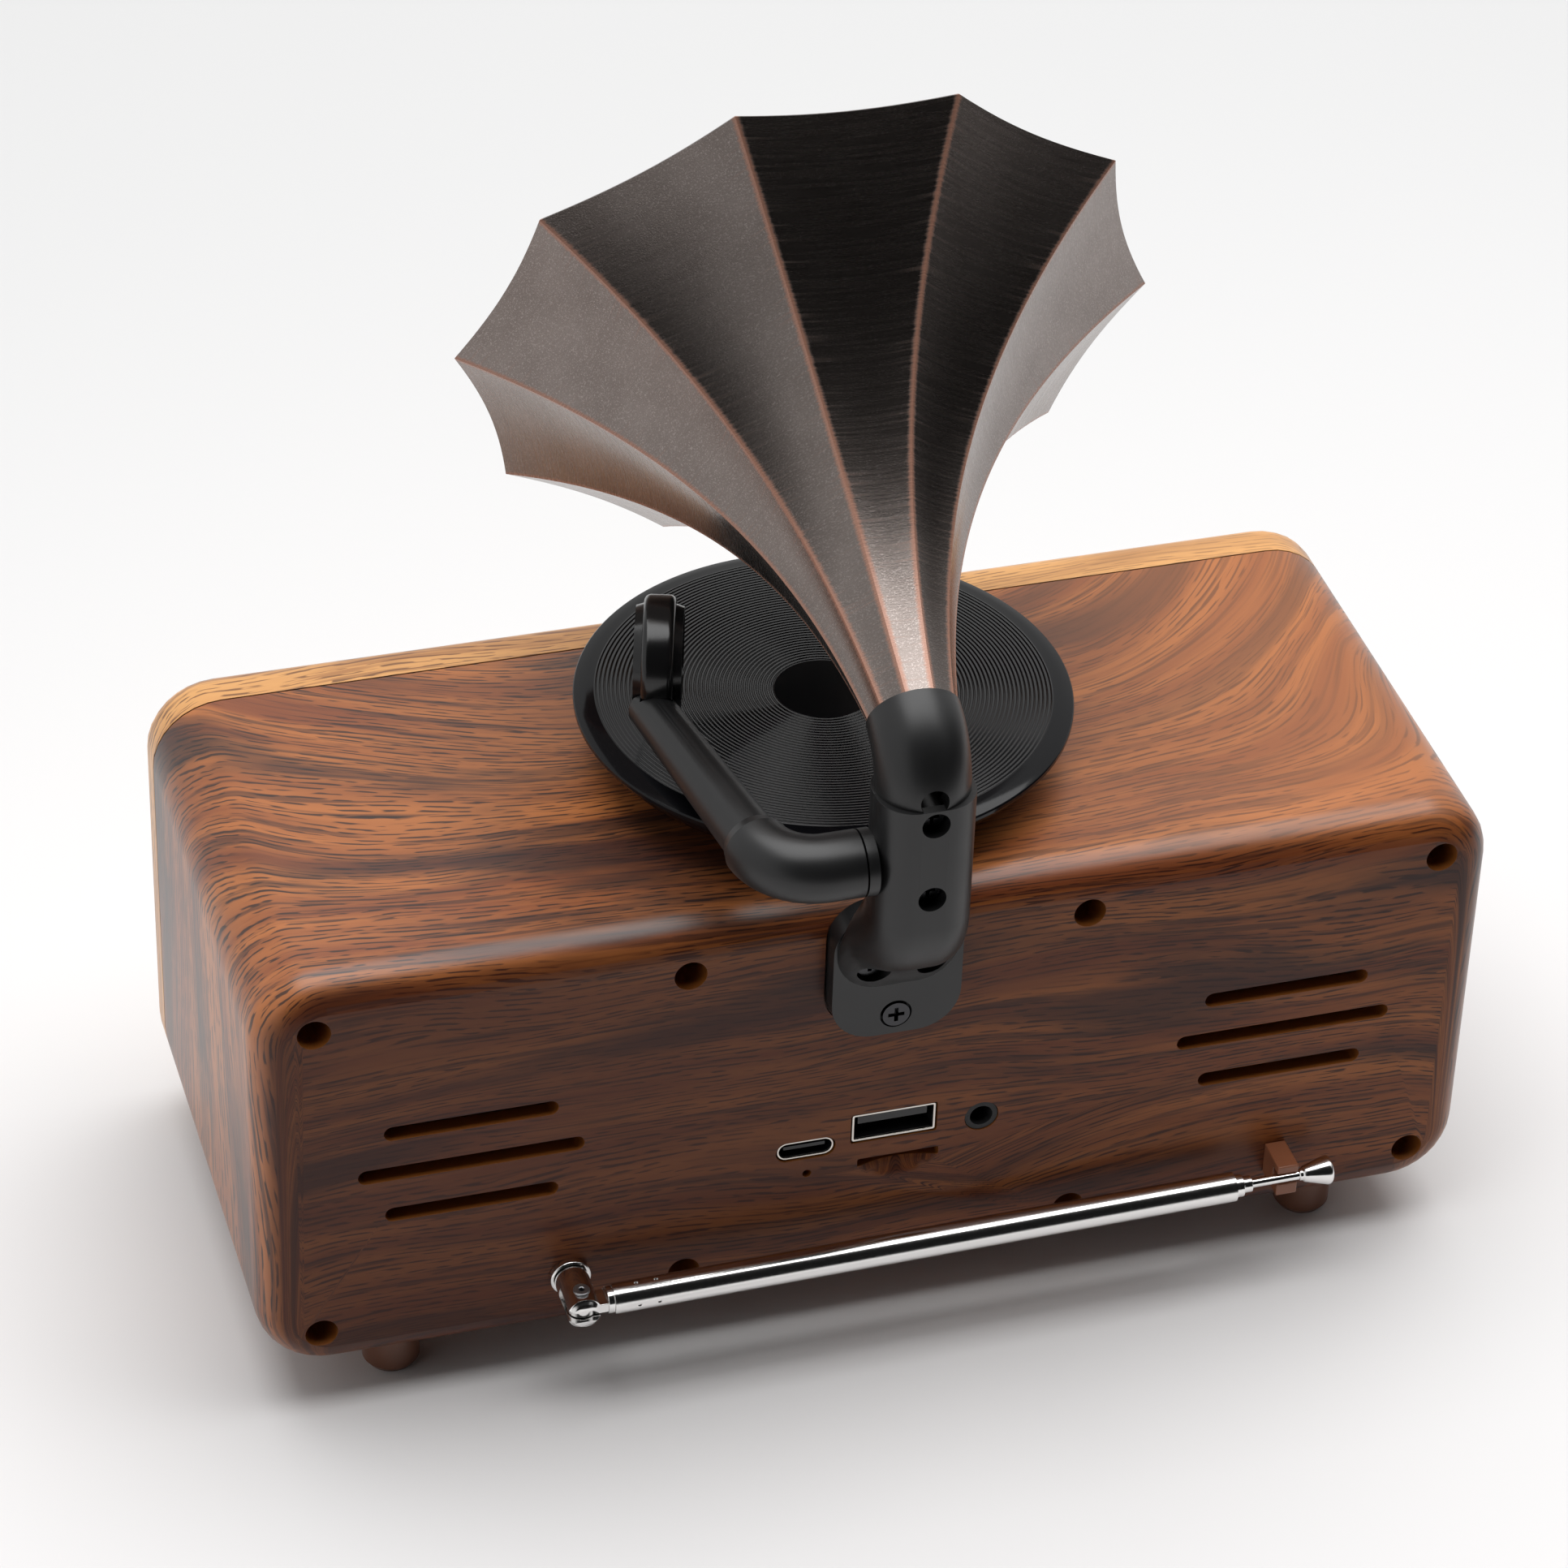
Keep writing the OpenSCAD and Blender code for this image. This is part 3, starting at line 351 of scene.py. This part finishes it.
def record():
    """Moulded disc: a matte label, fine rings with a gloss that runs round them, and a shiny band."""
    tree = Finish("record_black", Base_Color=rgb(0.004, 0.004, 0.005), Anisotropic_Rotation=0.25)
    x, y, _ = tree.place()
    dx = tree.subtract(x, PLATTER_X)
    dy = tree.subtract(y, PLATTER_Y)
    radius = tree.math("SQRT", tree.add(tree.multiply(dx, dx), tree.multiply(dy, dy)))
    label = tree.step(radius, *LABEL_EDGE)
    flat = tree.step(tree.facing()[2], 0.8, 0.95)
    ringed = tree.multiply(tree.step(radius, *RINGS_FROM), tree.step(radius, *RINGS_TO), flat)
    tree.shade(Roughness=tree.ramp(label, 0.3, tree.ramp(ringed, 0.06, 0.10)),
               Specular_IOR_Level=tree.ramp(ringed, 0.25, 0.22),
               Anisotropic=tree.multiply(ringed, 0.9),
               Tangent=tree.vector(tree.multiply(dy, -1), dx))
    wave = tree.math("SINE", tree.multiply(radius, 2 * math.pi / RING_PITCH))
    tree.bump(tree.multiply(wave, ringed), 0.12, 1.0)


def horn_finish():
    """Antiqued metallic paint: dark bronze, brushed across, with dull copper worn through on the ribs."""
    tree = Finish("horn_bronze", Coat_Weight=0.1, Coat_Roughness=0.15)

    def attribute(name):
        return tree.node("ShaderNodeAttribute", attribute_name=name).outputs["Fac"]

    rib = attribute("rib_gap")
    around = tree.multiply(attribute("round_at"), 0.07)
    outward = tree.multiply(attribute("reach"), 3.0)
    streak = tree.noise(tree.vector(around, outward), detail=3)
    speck = tree.speckle(4.5)
    cloud = tree.speckle(0.12, detail=3)

    worn_width = tree.ramp(streak, 0.7, 0.18)
    worn = tree.step(tree.divide(rib, worn_width), 1.7, 0.25)
    brushed = tree.multiply(tree.step(rib, 5.0, 0.2), tree.step(streak, 0.55, 0.72))
    copper = tree.math("MAXIMUM", worn, tree.multiply(brushed, 0.22))

    fleck = tree.multiply(tree.step(speck, 0.52, 0.7), 0.5)
    base = tree.mix(fleck, tree.mix(cloud, BRONZE_DARK, BRONZE_LIGHT), BRONZE_FLECK)
    tree.shade(Base_Color=tree.mix(copper, base, WORN_COPPER),
               Metallic=tree.ramp(copper, -0.7, 0.985),
               Roughness=tree.ramp(streak, 0.14, 0.20))
    tree.bump(tree.add(tree.multiply(streak, 0.25), tree.multiply(speck, 0.9)), 0.04, 0.5)


def metal(name, colour, roughness, scratch=0.0):
    """Bare metal with a gloss that varies a little, and a fine relief if scratch is given."""
    tree = Finish(name, Base_Color=rgb(*colour), Metallic=1.0)
    fine = tree.speckle(2, detail=3)
    tree.shade(Roughness=tree.ramp(fine, 0.10, roughness))
    if scratch:
        tree.bump(fine, 0.02, scratch)


def socket(name):
    """Bright shell at the face of a socket, and a black inside."""
    tree = Finish(name)
    # Behind the face the socket is black: partly its own black parts, partly painted shade in the recess
    face = tree.step(tree.place()[1], *SOCKET_FACE)
    tree.shade(Base_Color=tree.mix(face, SOCKET_BLACK_AND_SHADE, SOCKET_SHELL),
               Metallic=face,
               Roughness=tree.ramp(face, 0.02, 0.2))


def plastic(name, colour, roughness):
    """Coloured plastic, slightly mottled."""
    tree = Finish(name)
    cloud = tree.speckle(0.5, detail=3)
    tree.shade(Base_Color=tree.mix(cloud, scaled(colour, 1 - MOTTLE), rgb(*colour)),
               Roughness=tree.ramp(cloud, 0.1, roughness))


def woven(name, light, dark):
    """Grille cloth in plain weave."""
    tree = Finish(name, Roughness=0.85, Sheen_Weight=0.2)
    x, _, z = tree.place()
    turn = math.pi / THREAD_PITCH
    warp, weft = (tree.math("SINE", tree.multiply(place, turn)) for place in (x, z))
    over = tree.multiply(warp, weft)
    fibre = tree.speckle(2.2, detail=3)
    share = tree.ramp(over, 0.35, tree.multiply(fibre, 0.8), clamp=True)
    tree.shade(Base_Color=tree.mix(share, rgb(*dark), rgb(*light)))
    tree.bump(over, 0.15, 0.6)


wood("wood_brown", light=rgb(0.44, 0.145, 0.036), mid=rgb(0.20, 0.050, 0.014),
     dark=rgb(0.018, 0.008, 0.008), bend=(0.8, 1.5))
wood("wood_front", light=rgb(0.71, 0.36, 0.12), mid=rgb(0.60, 0.28, 0.09),
     dark=rgb(0.27, 0.105, 0.036))
black("matte_black")
black("gloss_black", shade=0.006, roughness=0.20)
black("inner_black", shade=0.012, roughness=0.6)
black("cone_paper", shade=0.02, roughness=0.85)
horn_finish()
record()
plastic("foot_copper", (0.17, 0.070, 0.040), roughness=0.28)
plastic("clip_brown", (0.24, 0.085, 0.040), roughness=0.30)
plastic("board_green", (0.02, 0.12, 0.05), roughness=0.35)
plastic("battery_wrap", (0.06, 0.16, 0.34), roughness=0.25)
metal("antenna_chrome", (0.84, 0.83, 0.82), roughness=0.09)
metal("screw_steel", (0.36, 0.36, 0.37), roughness=0.30, scratch=0.3)
metal("screw_black", (0.055, 0.055, 0.058), roughness=0.20, scratch=0.2)
metal("bush_brass", (0.75, 0.55, 0.25), roughness=0.25, scratch=0.2)
metal("panel_copper", (0.60, 0.34, 0.22), roughness=0.24, scratch=0.3)
socket("socket_steel")
woven("cloth_tan", light=(0.42, 0.31, 0.19), dark=(0.12, 0.08, 0.05))


# ---- Pieces ----

WELD = 0.002
FLAT_ANGLE, SMOOTH_ANGLE, HORN_SMOOTH_ANGLE, BEVEL_ANGLE = 0.5, 32, 18, 50


def add_piece(name, mesh, slot, body, replaced):
    """Puts a mesh in the row frame as a piece that stands for CAD nodes."""
    piece = bpy.data.objects.new(name, mesh)
    bpy.context.scene.collection.objects.link(piece)
    mesh.materials.clear()
    mesh.materials.append(MATERIALS[slot])
    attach(piece, body)
    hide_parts(*replaced)
    return piece


def smooth(mesh, angle):
    """Smooth shading, but for edges sharper than an angle in degrees."""
    mesh.polygons.foreach_set("use_smooth", [True] * len(mesh.polygons))
    mesh.set_sharp_from_angle(angle=math.radians(angle))


def soften(piece, width):
    """Rounds the hard edges of a piece."""
    modifier = piece.modifiers.new("soft_edges", "BEVEL")
    modifier.width = width * MM
    modifier.segments = 2
    modifier.limit_method = "ANGLE"
    modifier.angle_limit = math.radians(BEVEL_ANGLE)


def refined(node, bevel=0.0):
    """A welded, smoothed copy of a CAD node, with its hard edges softened by a bevel."""
    mesh = bpy.data.meshes.new(node + "_skin")
    shape = bmesh.new()
    shape.from_mesh(NODES[node].data)
    bmesh.ops.remove_doubles(shape, verts=shape.verts, dist=WELD * MM)
    bmesh.ops.dissolve_limit(shape, angle_limit=math.radians(FLAT_ANGLE), verts=shape.verts,
                             edges=shape.edges)
    shape.to_mesh(mesh)
    shape.free()
    smooth(mesh, SMOOTH_ANGLE)
    piece = add_piece(node + "_skin", mesh, SLOT_OF[node], BODY_OF[node], [node])
    if bevel:
        soften(piece, bevel)
    return piece


def bridge(shape, first, second):
    """Faces between two rings of as many points."""
    for k in range(len(first)):
        n = (k + 1) % len(first)
        shape.faces.new((first[k], first[n], second[n], second[k]))


# ---- Horn, as in the CAD source ----

PANELS = 10
HORN_LENGTH = 70.6
MOUTH_RADIUS, NECK_RADIUS = 53.0, 6.7
FLARE = 3.24
HORN_SLOW = 0.54
PANEL_DIP = 1.4
HORN_WALL = 0.9
HORN_TILT, HORN_TURN = 21.7, -2.1
ELBOW_Y, ELBOW_ARC, ELBOW_SLEEVE, SEAM_Z = 46.5, 7.6, 1.5, 109.4

HORN_STEPS, PANEL_STEPS = 64, 14
LIP_RISE, LIP_SHARES = 0.3, (0.15, 0.5, 0.85)
SLOPE_STEP = 1e-4


def horn_radius(step):
    return NECK_RADIUS + (MOUTH_RADIUS - NECK_RADIUS) * math.expm1(FLARE * step) / math.expm1(FLARE)


def horn_reach(step):
    return HORN_LENGTH * (HORN_SLOW * step + (1 - HORN_SLOW) * step * step)


def horn_inset(step):
    """How far inside the outer surface the inner one lies, measured across the horn's axis."""
    rise = horn_radius(step + SLOPE_STEP) - horn_radius(step)
    run = horn_reach(step + SLOPE_STEP) - horn_reach(step)
    return HORN_WALL * math.hypot(1, rise / run)


def horn_point(step, panel, share, inward):
    """A point of the horn, and how far it is from a rib. share is 0 and 1 on a panel's two ribs."""
    radius = horn_radius(step) - inward
    angles = [math.radians(360 / PANELS * (panel + i)) for i in (0, 1)]
    ribs = [Vector((math.cos(angle), math.sin(angle))) * radius for angle in angles]
    flat = ribs[0].lerp(ribs[1], share)
    dip = 4 * share * (1 - share) * PANEL_DIP * radius / MOUTH_RADIUS
    point = flat * (1 - dip / flat.length)
    gap = min(share, 1 - share) * (ribs[1] - ribs[0]).length
    return Vector((point.x, point.y, horn_reach(step))), gap


def horn_place():
    """Matrix that takes the horn from its own axis to its place on the elbow, in millimetres."""
    turn = math.radians(90 - HORN_TILT)
    neck = Vector((0, ELBOW_Y - ELBOW_ARC * (1 - math.cos(turn)) - ELBOW_SLEEVE * math.sin(turn),
                   SEAM_Z + ELBOW_ARC * math.sin(turn) + ELBOW_SLEEVE * math.cos(turn)))
    column = Matrix.Translation((0, ELBOW_Y, 0))
    return (column @ Matrix.Rotation(math.radians(HORN_TURN), 4, "Z") @ column.inverted()
            @ Matrix.Translation(neck) @ Matrix.Rotation(turn, 4, "X"))


def make_horn():
    """Thin faceted shell with a rounded lip. Its attributes place the worn copper and the brushing."""
    count = PANELS * PANEL_STEPS
    place = horn_place()
    shape = bmesh.new()
    facts = {name: shape.verts.layers.float.new(name) for name in ("rib_gap", "reach", "round_at")}

    def ring(step, inward, lift=0.0):
        verts = []
        for k in range(count):
            panel, part = divmod(k, PANEL_STEPS)
            point, gap = horn_point(step, panel, part / PANEL_STEPS, inward)
            point.z += lift
            vert = shape.verts.new(place @ point * MM)
            vert[facts["rib_gap"]] = gap
            vert[facts["reach"]] = point.z
            vert[facts["round_at"]] = k / count * 2 * math.pi * horn_radius(step)
            verts.append(vert)
        return verts

    steps = [i / HORN_STEPS for i in range(HORN_STEPS + 1)]
    outer = [ring(step, 0) for step in steps]
    inner = [ring(step, horn_inset(step)) for step in reversed(steps)]
    lip = [ring(1, share * horn_inset(1), LIP_RISE) for share in LIP_SHARES]
    rings = outer + lip + inner
    for first, second in zip(rings, rings[1:] + rings[:1]):
        bridge(shape, first, second)
    bmesh.ops.recalc_face_normals(shape, faces=shape.faces)
    mesh = bpy.data.meshes.new("horn_shell")
    shape.to_mesh(mesh)
    shape.free()
    smooth(mesh, HORN_SMOOTH_ANGLE)
    add_piece("horn_shell", mesh, "horn_bronze", "cabinet", ["horn"])


# ---- Column, as in the CAD source ----

# Each slice of the gooseneck: turn in degrees, then middle, width, height and corner radius
GOOSE = [(0, 7.2, 14.8, 12.8, 5.4), (24, 7.0, 15.4, 13.0, 5.8), (47, 7.2, 16.4, 13.0, 6.2),
         (69, 8.1, 17.6, 11.4, 5.6), (80, 9.9, 18.4, 11.8, 5.8), (90, 13.1, 19.2, 14.0, 6.9)]
SLICE_STEPS, CORNER_STEPS, ROD_SEGMENTS = 5, 10, 48
COLUMN_Y, NECK_Z = 47.1, 88.0
PLATE_FACE, PLATE_BACK, PLATE_Z = 40.2, 36.2, 70.5
PLATE_OUTLINE = (20, 23, 6.7)

# The front half of the column starts at this height, and both halves are hollow
FRONT_Z, FRONT_CUBE = 89.6, 40
HOLLOW_OUTLINE = (11.8, 9.8, 3.9)
HOLLOW_Z = (89.5, 140)

ARM_BORE = {"centre": (8.1, COLUMN_Y, 97.4), "axis": (1, 0, 0), "radius": 3, "length": 8}
COLUMN_SCREWS_Z = [93.8, 106.9]
BOSS_RADIUS, BOSS_LENGTH = 2.4, 5.8
COLUMN_RECESS_RADIUS, COLUMN_RECESS_Y = 2.1, COLUMN_Y + 2.8
MOUNT_PLACES = [(0, 62.6), (-4.5, 72.9), (4.5, 72.9)]
MOUNT_RECESS_RADIUS, MOUNT_RECESS_Y = 2.45, PLATE_FACE - 1.2
RECESS_LENGTH = 20
CASTING_BEVEL = 0.3


def outline(width, height, radius):
    """Points of a rectangle with round corners."""
    points = []
    for corner, (u, v) in enumerate(((1, 1), (-1, 1), (-1, -1), (1, -1))):
        for i in range(CORNER_STEPS + 1):
            turn = math.radians(90 * (corner + i / CORNER_STEPS))
            points.append((u * (width / 2 - radius) + radius * math.cos(turn),
                           v * (height / 2 - radius) + radius * math.sin(turn)))
    return points


def between(values, place):
    """Smooth curve through a list of rows, at a place counted in rows."""
    i = min(int(place), len(values) - 2)
    share = place - i
    near = [values[min(max(k, 0), len(values) - 1)] for k in (i - 1, i, i + 1, i + 2)]

    def curve(p, q, r, s):
        bend = 2 * p - 5 * q + 4 * r - s + share * (3 * (q - r) + s - p)
        return q + share * 0.5 * (r - p + share * bend)

    return [curve(*column) for column in zip(*near)]


def goose_ring(place):
    """Ring of points round one slice of the gooseneck, at a place counted in slices."""
    turn, middle, width, height, radius = between(GOOSE, place)
    turn = math.radians(turn)
    pivot = COLUMN_Y - GOOSE[0][1]
    return [(u, pivot + (middle + v) * math.cos(turn), NECK_Z - (middle + v) * math.sin(turn))
            for u, v in outline(width, height, radius)]


def loft(rings):
    """Solid through rings of points, closed at both ends."""
    shape = bmesh.new()
    rows = [[shape.verts.new(point) for point in ring] for ring in rings]
    for first, second in zip(rows, rows[1:]):
        bridge(shape, first, second)
    shape.faces.new(rows[0][::-1])
    shape.faces.new(rows[-1])
    bmesh.ops.recalc_face_normals(shape, faces=shape.faces)
    return shape


def rod(centre, axis, radius, length):
    """Cylinder of a length about its centre, along an axis."""
    shape = bmesh.new()
    turn = Vector((0, 0, 1)).rotation_difference(Vector(axis)).to_matrix().to_4x4()
    bmesh.ops.create_cone(shape, cap_ends=True, segments=ROD_SEGMENTS, radius1=radius, radius2=radius,
                          depth=length, matrix=Matrix.Translation(centre) @ turn)
    return shape


def rearward(x, y, z, radius, length):
    """Cylinder that starts at a point and runs toward the rear."""
    return rod((x, y + length / 2, z), (0, 1, 0), radius, length)


def as_object(shape):
    mesh = bpy.data.meshes.new("carving")
    shape.to_mesh(mesh)
    shape.free()
    carving = bpy.data.objects.new("carving", mesh)
    bpy.context.scene.collection.objects.link(carving)
    return carving


def carved(base, steps):
    """Mesh in metres of the base after the boolean steps. The base and each step's shape are in mm."""
    work = as_object(base)
    tools = []
    for operation, shape in steps:
        tools.append(as_object(shape))
        modifier = work.modifiers.new(operation, "BOOLEAN")
        modifier.operation = operation
        modifier.solver = "EXACT"
        modifier.object = tools[-1]
    graph = bpy.context.evaluated_depsgraph_get()
    mesh = bpy.data.meshes.new_from_object(work.evaluated_get(graph))
    for carving in [work] + tools:
        bpy.data.objects.remove(carving)
    mesh.transform(Matrix.Scale(MM, 4))
    return mesh


def column_body():
    """Gooseneck from the horn elbow's seam down to the mounting plate."""
    seam = [(u, COLUMN_Y + v, SEAM_Z) for u, v in outline(*GOOSE[0][2:])]
    slices = SLICE_STEPS * (len(GOOSE) - 1)
    return loft([seam] + [goose_ring(i / SLICE_STEPS) for i in range(slices + 1)])


def front_space():
    """Cube that takes the place of the column's front half."""
    shape = bmesh.new()
    middle = (0, COLUMN_Y - FRONT_CUBE / 2, FRONT_Z + FRONT_CUBE / 2)
    bmesh.ops.create_cube(shape, size=FRONT_CUBE, matrix=Matrix.Translation(middle))
    return shape


def make_column():
    """Rear half of the column with its gooseneck and plate, as one smooth casting with screw recesses."""
    plate = loft([[(u, y, PLATE_Z + v) for u, v in outline(*PLATE_OUTLINE)]
                  for y in (PLATE_BACK, PLATE_FACE)])
    hollow = loft([[(u, COLUMN_Y + v, z) for u, v in outline(*HOLLOW_OUTLINE)]
                   for z in HOLLOW_Z])
    steps = [("UNION", plate),
             ("DIFFERENCE", front_space()),
             ("DIFFERENCE", hollow),
             ("DIFFERENCE", rod(**ARM_BORE))]
    steps += [("UNION", rearward(0, COLUMN_Y, z, BOSS_RADIUS, BOSS_LENGTH)) for z in COLUMN_SCREWS_Z]
    steps += [("DIFFERENCE", rearward(0, COLUMN_RECESS_Y, z, COLUMN_RECESS_RADIUS, RECESS_LENGTH))
              for z in COLUMN_SCREWS_Z]
    steps += [("DIFFERENCE", rearward(x, MOUNT_RECESS_Y, z, MOUNT_RECESS_RADIUS, RECESS_LENGTH))
              for x, z in MOUNT_PLACES]
    mesh = carved(column_body(), steps)
    smooth(mesh, SMOOTH_ANGLE)
    piece = add_piece("column_casting", mesh, "matte_black", "cabinet", ["column_rear"])
    soften(piece, CASTING_BEVEL)


# ---- All pieces ----

def make_cloth():
    """Grille cloth, stretched flat over its board round the control panel's opening."""
    low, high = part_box("grille_cloth")
    return refined("grille_cloth"), (high.x - low.x, high.z - low.z)


make_horn()
make_column()
cloth, cloth_size = make_cloth()

SOFT_EDGES = {
    "cabinet_shell": 0.3, "front_bezel": 0.3, "control_panel": 0.3, "rotary_knob": 0.3,
    "column_front": 0.25, "horn_elbow": 0.3, "arm_elbow": 0.3, "arm_tube": 0.2, "platter": 0.2,
    "usb_a_socket": 0.05, "usb_c_socket": 0.05,
    "antenna_flange": 0.45, "antenna_post": 0.1, "antenna_pin": 0.15, "antenna_plug": 0.1,
    "antenna_tube_1": 0.15, "antenna_tube_2": 0.1, "antenna_tube_3": 0.1,
    "antenna_knob": 0.2, "antenna_clip": 0.2,
}
for node_name in NODES:
    if node_name not in ("horn", "column_rear", "grille_cloth"):
        refined(node_name, SOFT_EDGES.get(node_name, 0.0))


# ---- Stage ----

FLOOR_RADIUS = 3000
# The floor is painted lighter toward the camera's side, as painted light, and dark farther out there, as
# painted shade
FLOOR_FAR, FLOOR_NEAR, FLOOR_PAINTED_SHADE = rgb(0.69, 0.69, 0.69), rgb(0.80, 0.79, 0.79), rgb(0.03, 0.03, 0.03)
FLOOR_PAINTED_LIGHT_Y = (-350, 60)
DARK_TOWARD, DARK_FROM, DARK_TO = (-0.66, 0.75), 300, 460
ROOM_BRIGHT, ROOM_DIM = 0.73, 0.008


def make_floor():
    """Pale floor, painted dark from DARK_FROM to DARK_TO out toward the camera's side and its right.

    Nearer the camera's side the floor is painted lighter, as painted light. The dark part is painted
    shade; it lies outside the camera's view at rest. It is there for the reflections.
    """
    mesh = bpy.data.meshes.new("floor")
    shape = bmesh.new()
    bmesh.ops.create_circle(shape, cap_ends=True, segments=96, radius=FLOOR_RADIUS * MM)
    shape.to_mesh(mesh)
    shape.free()
    floor = bpy.data.objects.new("floor", mesh)
    bpy.context.scene.collection.objects.link(floor)
    tree = Finish("floor_white", Roughness=0.55, Specular_IOR_Level=0.3)
    x, y, _ = tree.place()
    away = tree.add(tree.multiply(x, DARK_TOWARD[0]), tree.multiply(y, DARK_TOWARD[1]))
    # Painted light: the floor grows lighter toward the camera's side
    painted_light_floor = tree.mix(tree.step(y, *FLOOR_PAINTED_LIGHT_Y), FLOOR_FAR, FLOOR_NEAR)
    # Painted shade: the floor is painted dark out toward the camera's side and its right, for the
    # reflections
    tree.shade(Base_Color=tree.mix(tree.step(away, DARK_FROM, DARK_TO), painted_light_floor, FLOOR_PAINTED_SHADE))
    mesh.materials.append(tree.material)


def make_light(name, place, target, size, power):
    """Rectangular lamp that faces a target. Places and size are in metres, and power in watts."""
    light = bpy.data.lights.new(name, "AREA")
    light.shape = "RECTANGLE"
    light.size, light.size_y = size
    light.energy = power
    lamp = bpy.data.objects.new(name, light)
    lamp.location = place
    lamp.rotation_euler = (Vector(target) - Vector(place)).to_track_quat("-Z", "Y").to_euler()
    bpy.context.scene.collection.objects.link(lamp)


def make_world():
    """A bright studio with two dark parts: the room behind the camera, and low on its right."""
    world = bpy.data.worlds.new("studio")
    bpy.context.scene.world = world
    world.use_nodes = True
    tree = Nodes(world.node_tree)
    direction = tree.node("ShaderNodeTexCoord").outputs["Generated"]

    def open_share(toward, edge, core):
        """1 away from a direction and 0 near it. edge and core are cosines of the angle from it."""
        sockets = {0: direction, 1: toward}
        cosine = tree.node("ShaderNodeVectorMath", sockets, operation="DOT_PRODUCT").outputs["Value"]
        return tree.step(cosine, core, edge)

    behind = open_share(toward=(0.0, 0.87, 0.49), edge=0.55, core=0.82)
    low_right = open_share(toward=(-0.93, 0.37, 0.0), edge=0.74, core=0.93)
    background = world.node_tree.nodes["Background"]
    tree.set(background, "Color", rgb(1.0, 1.0, 1.0))
    tree.set(background, "Strength", tree.ramp(tree.multiply(behind, low_right), ROOM_BRIGHT, ROOM_DIM))


make_floor()
make_world()
make_light("overhead", place=(-0.1, -0.1, 1.1), target=(-0.1, -0.1, 0.0), size=(1.3, 1.0), power=13.4)
bpy.context.scene.view_settings.view_transform = "Standard"
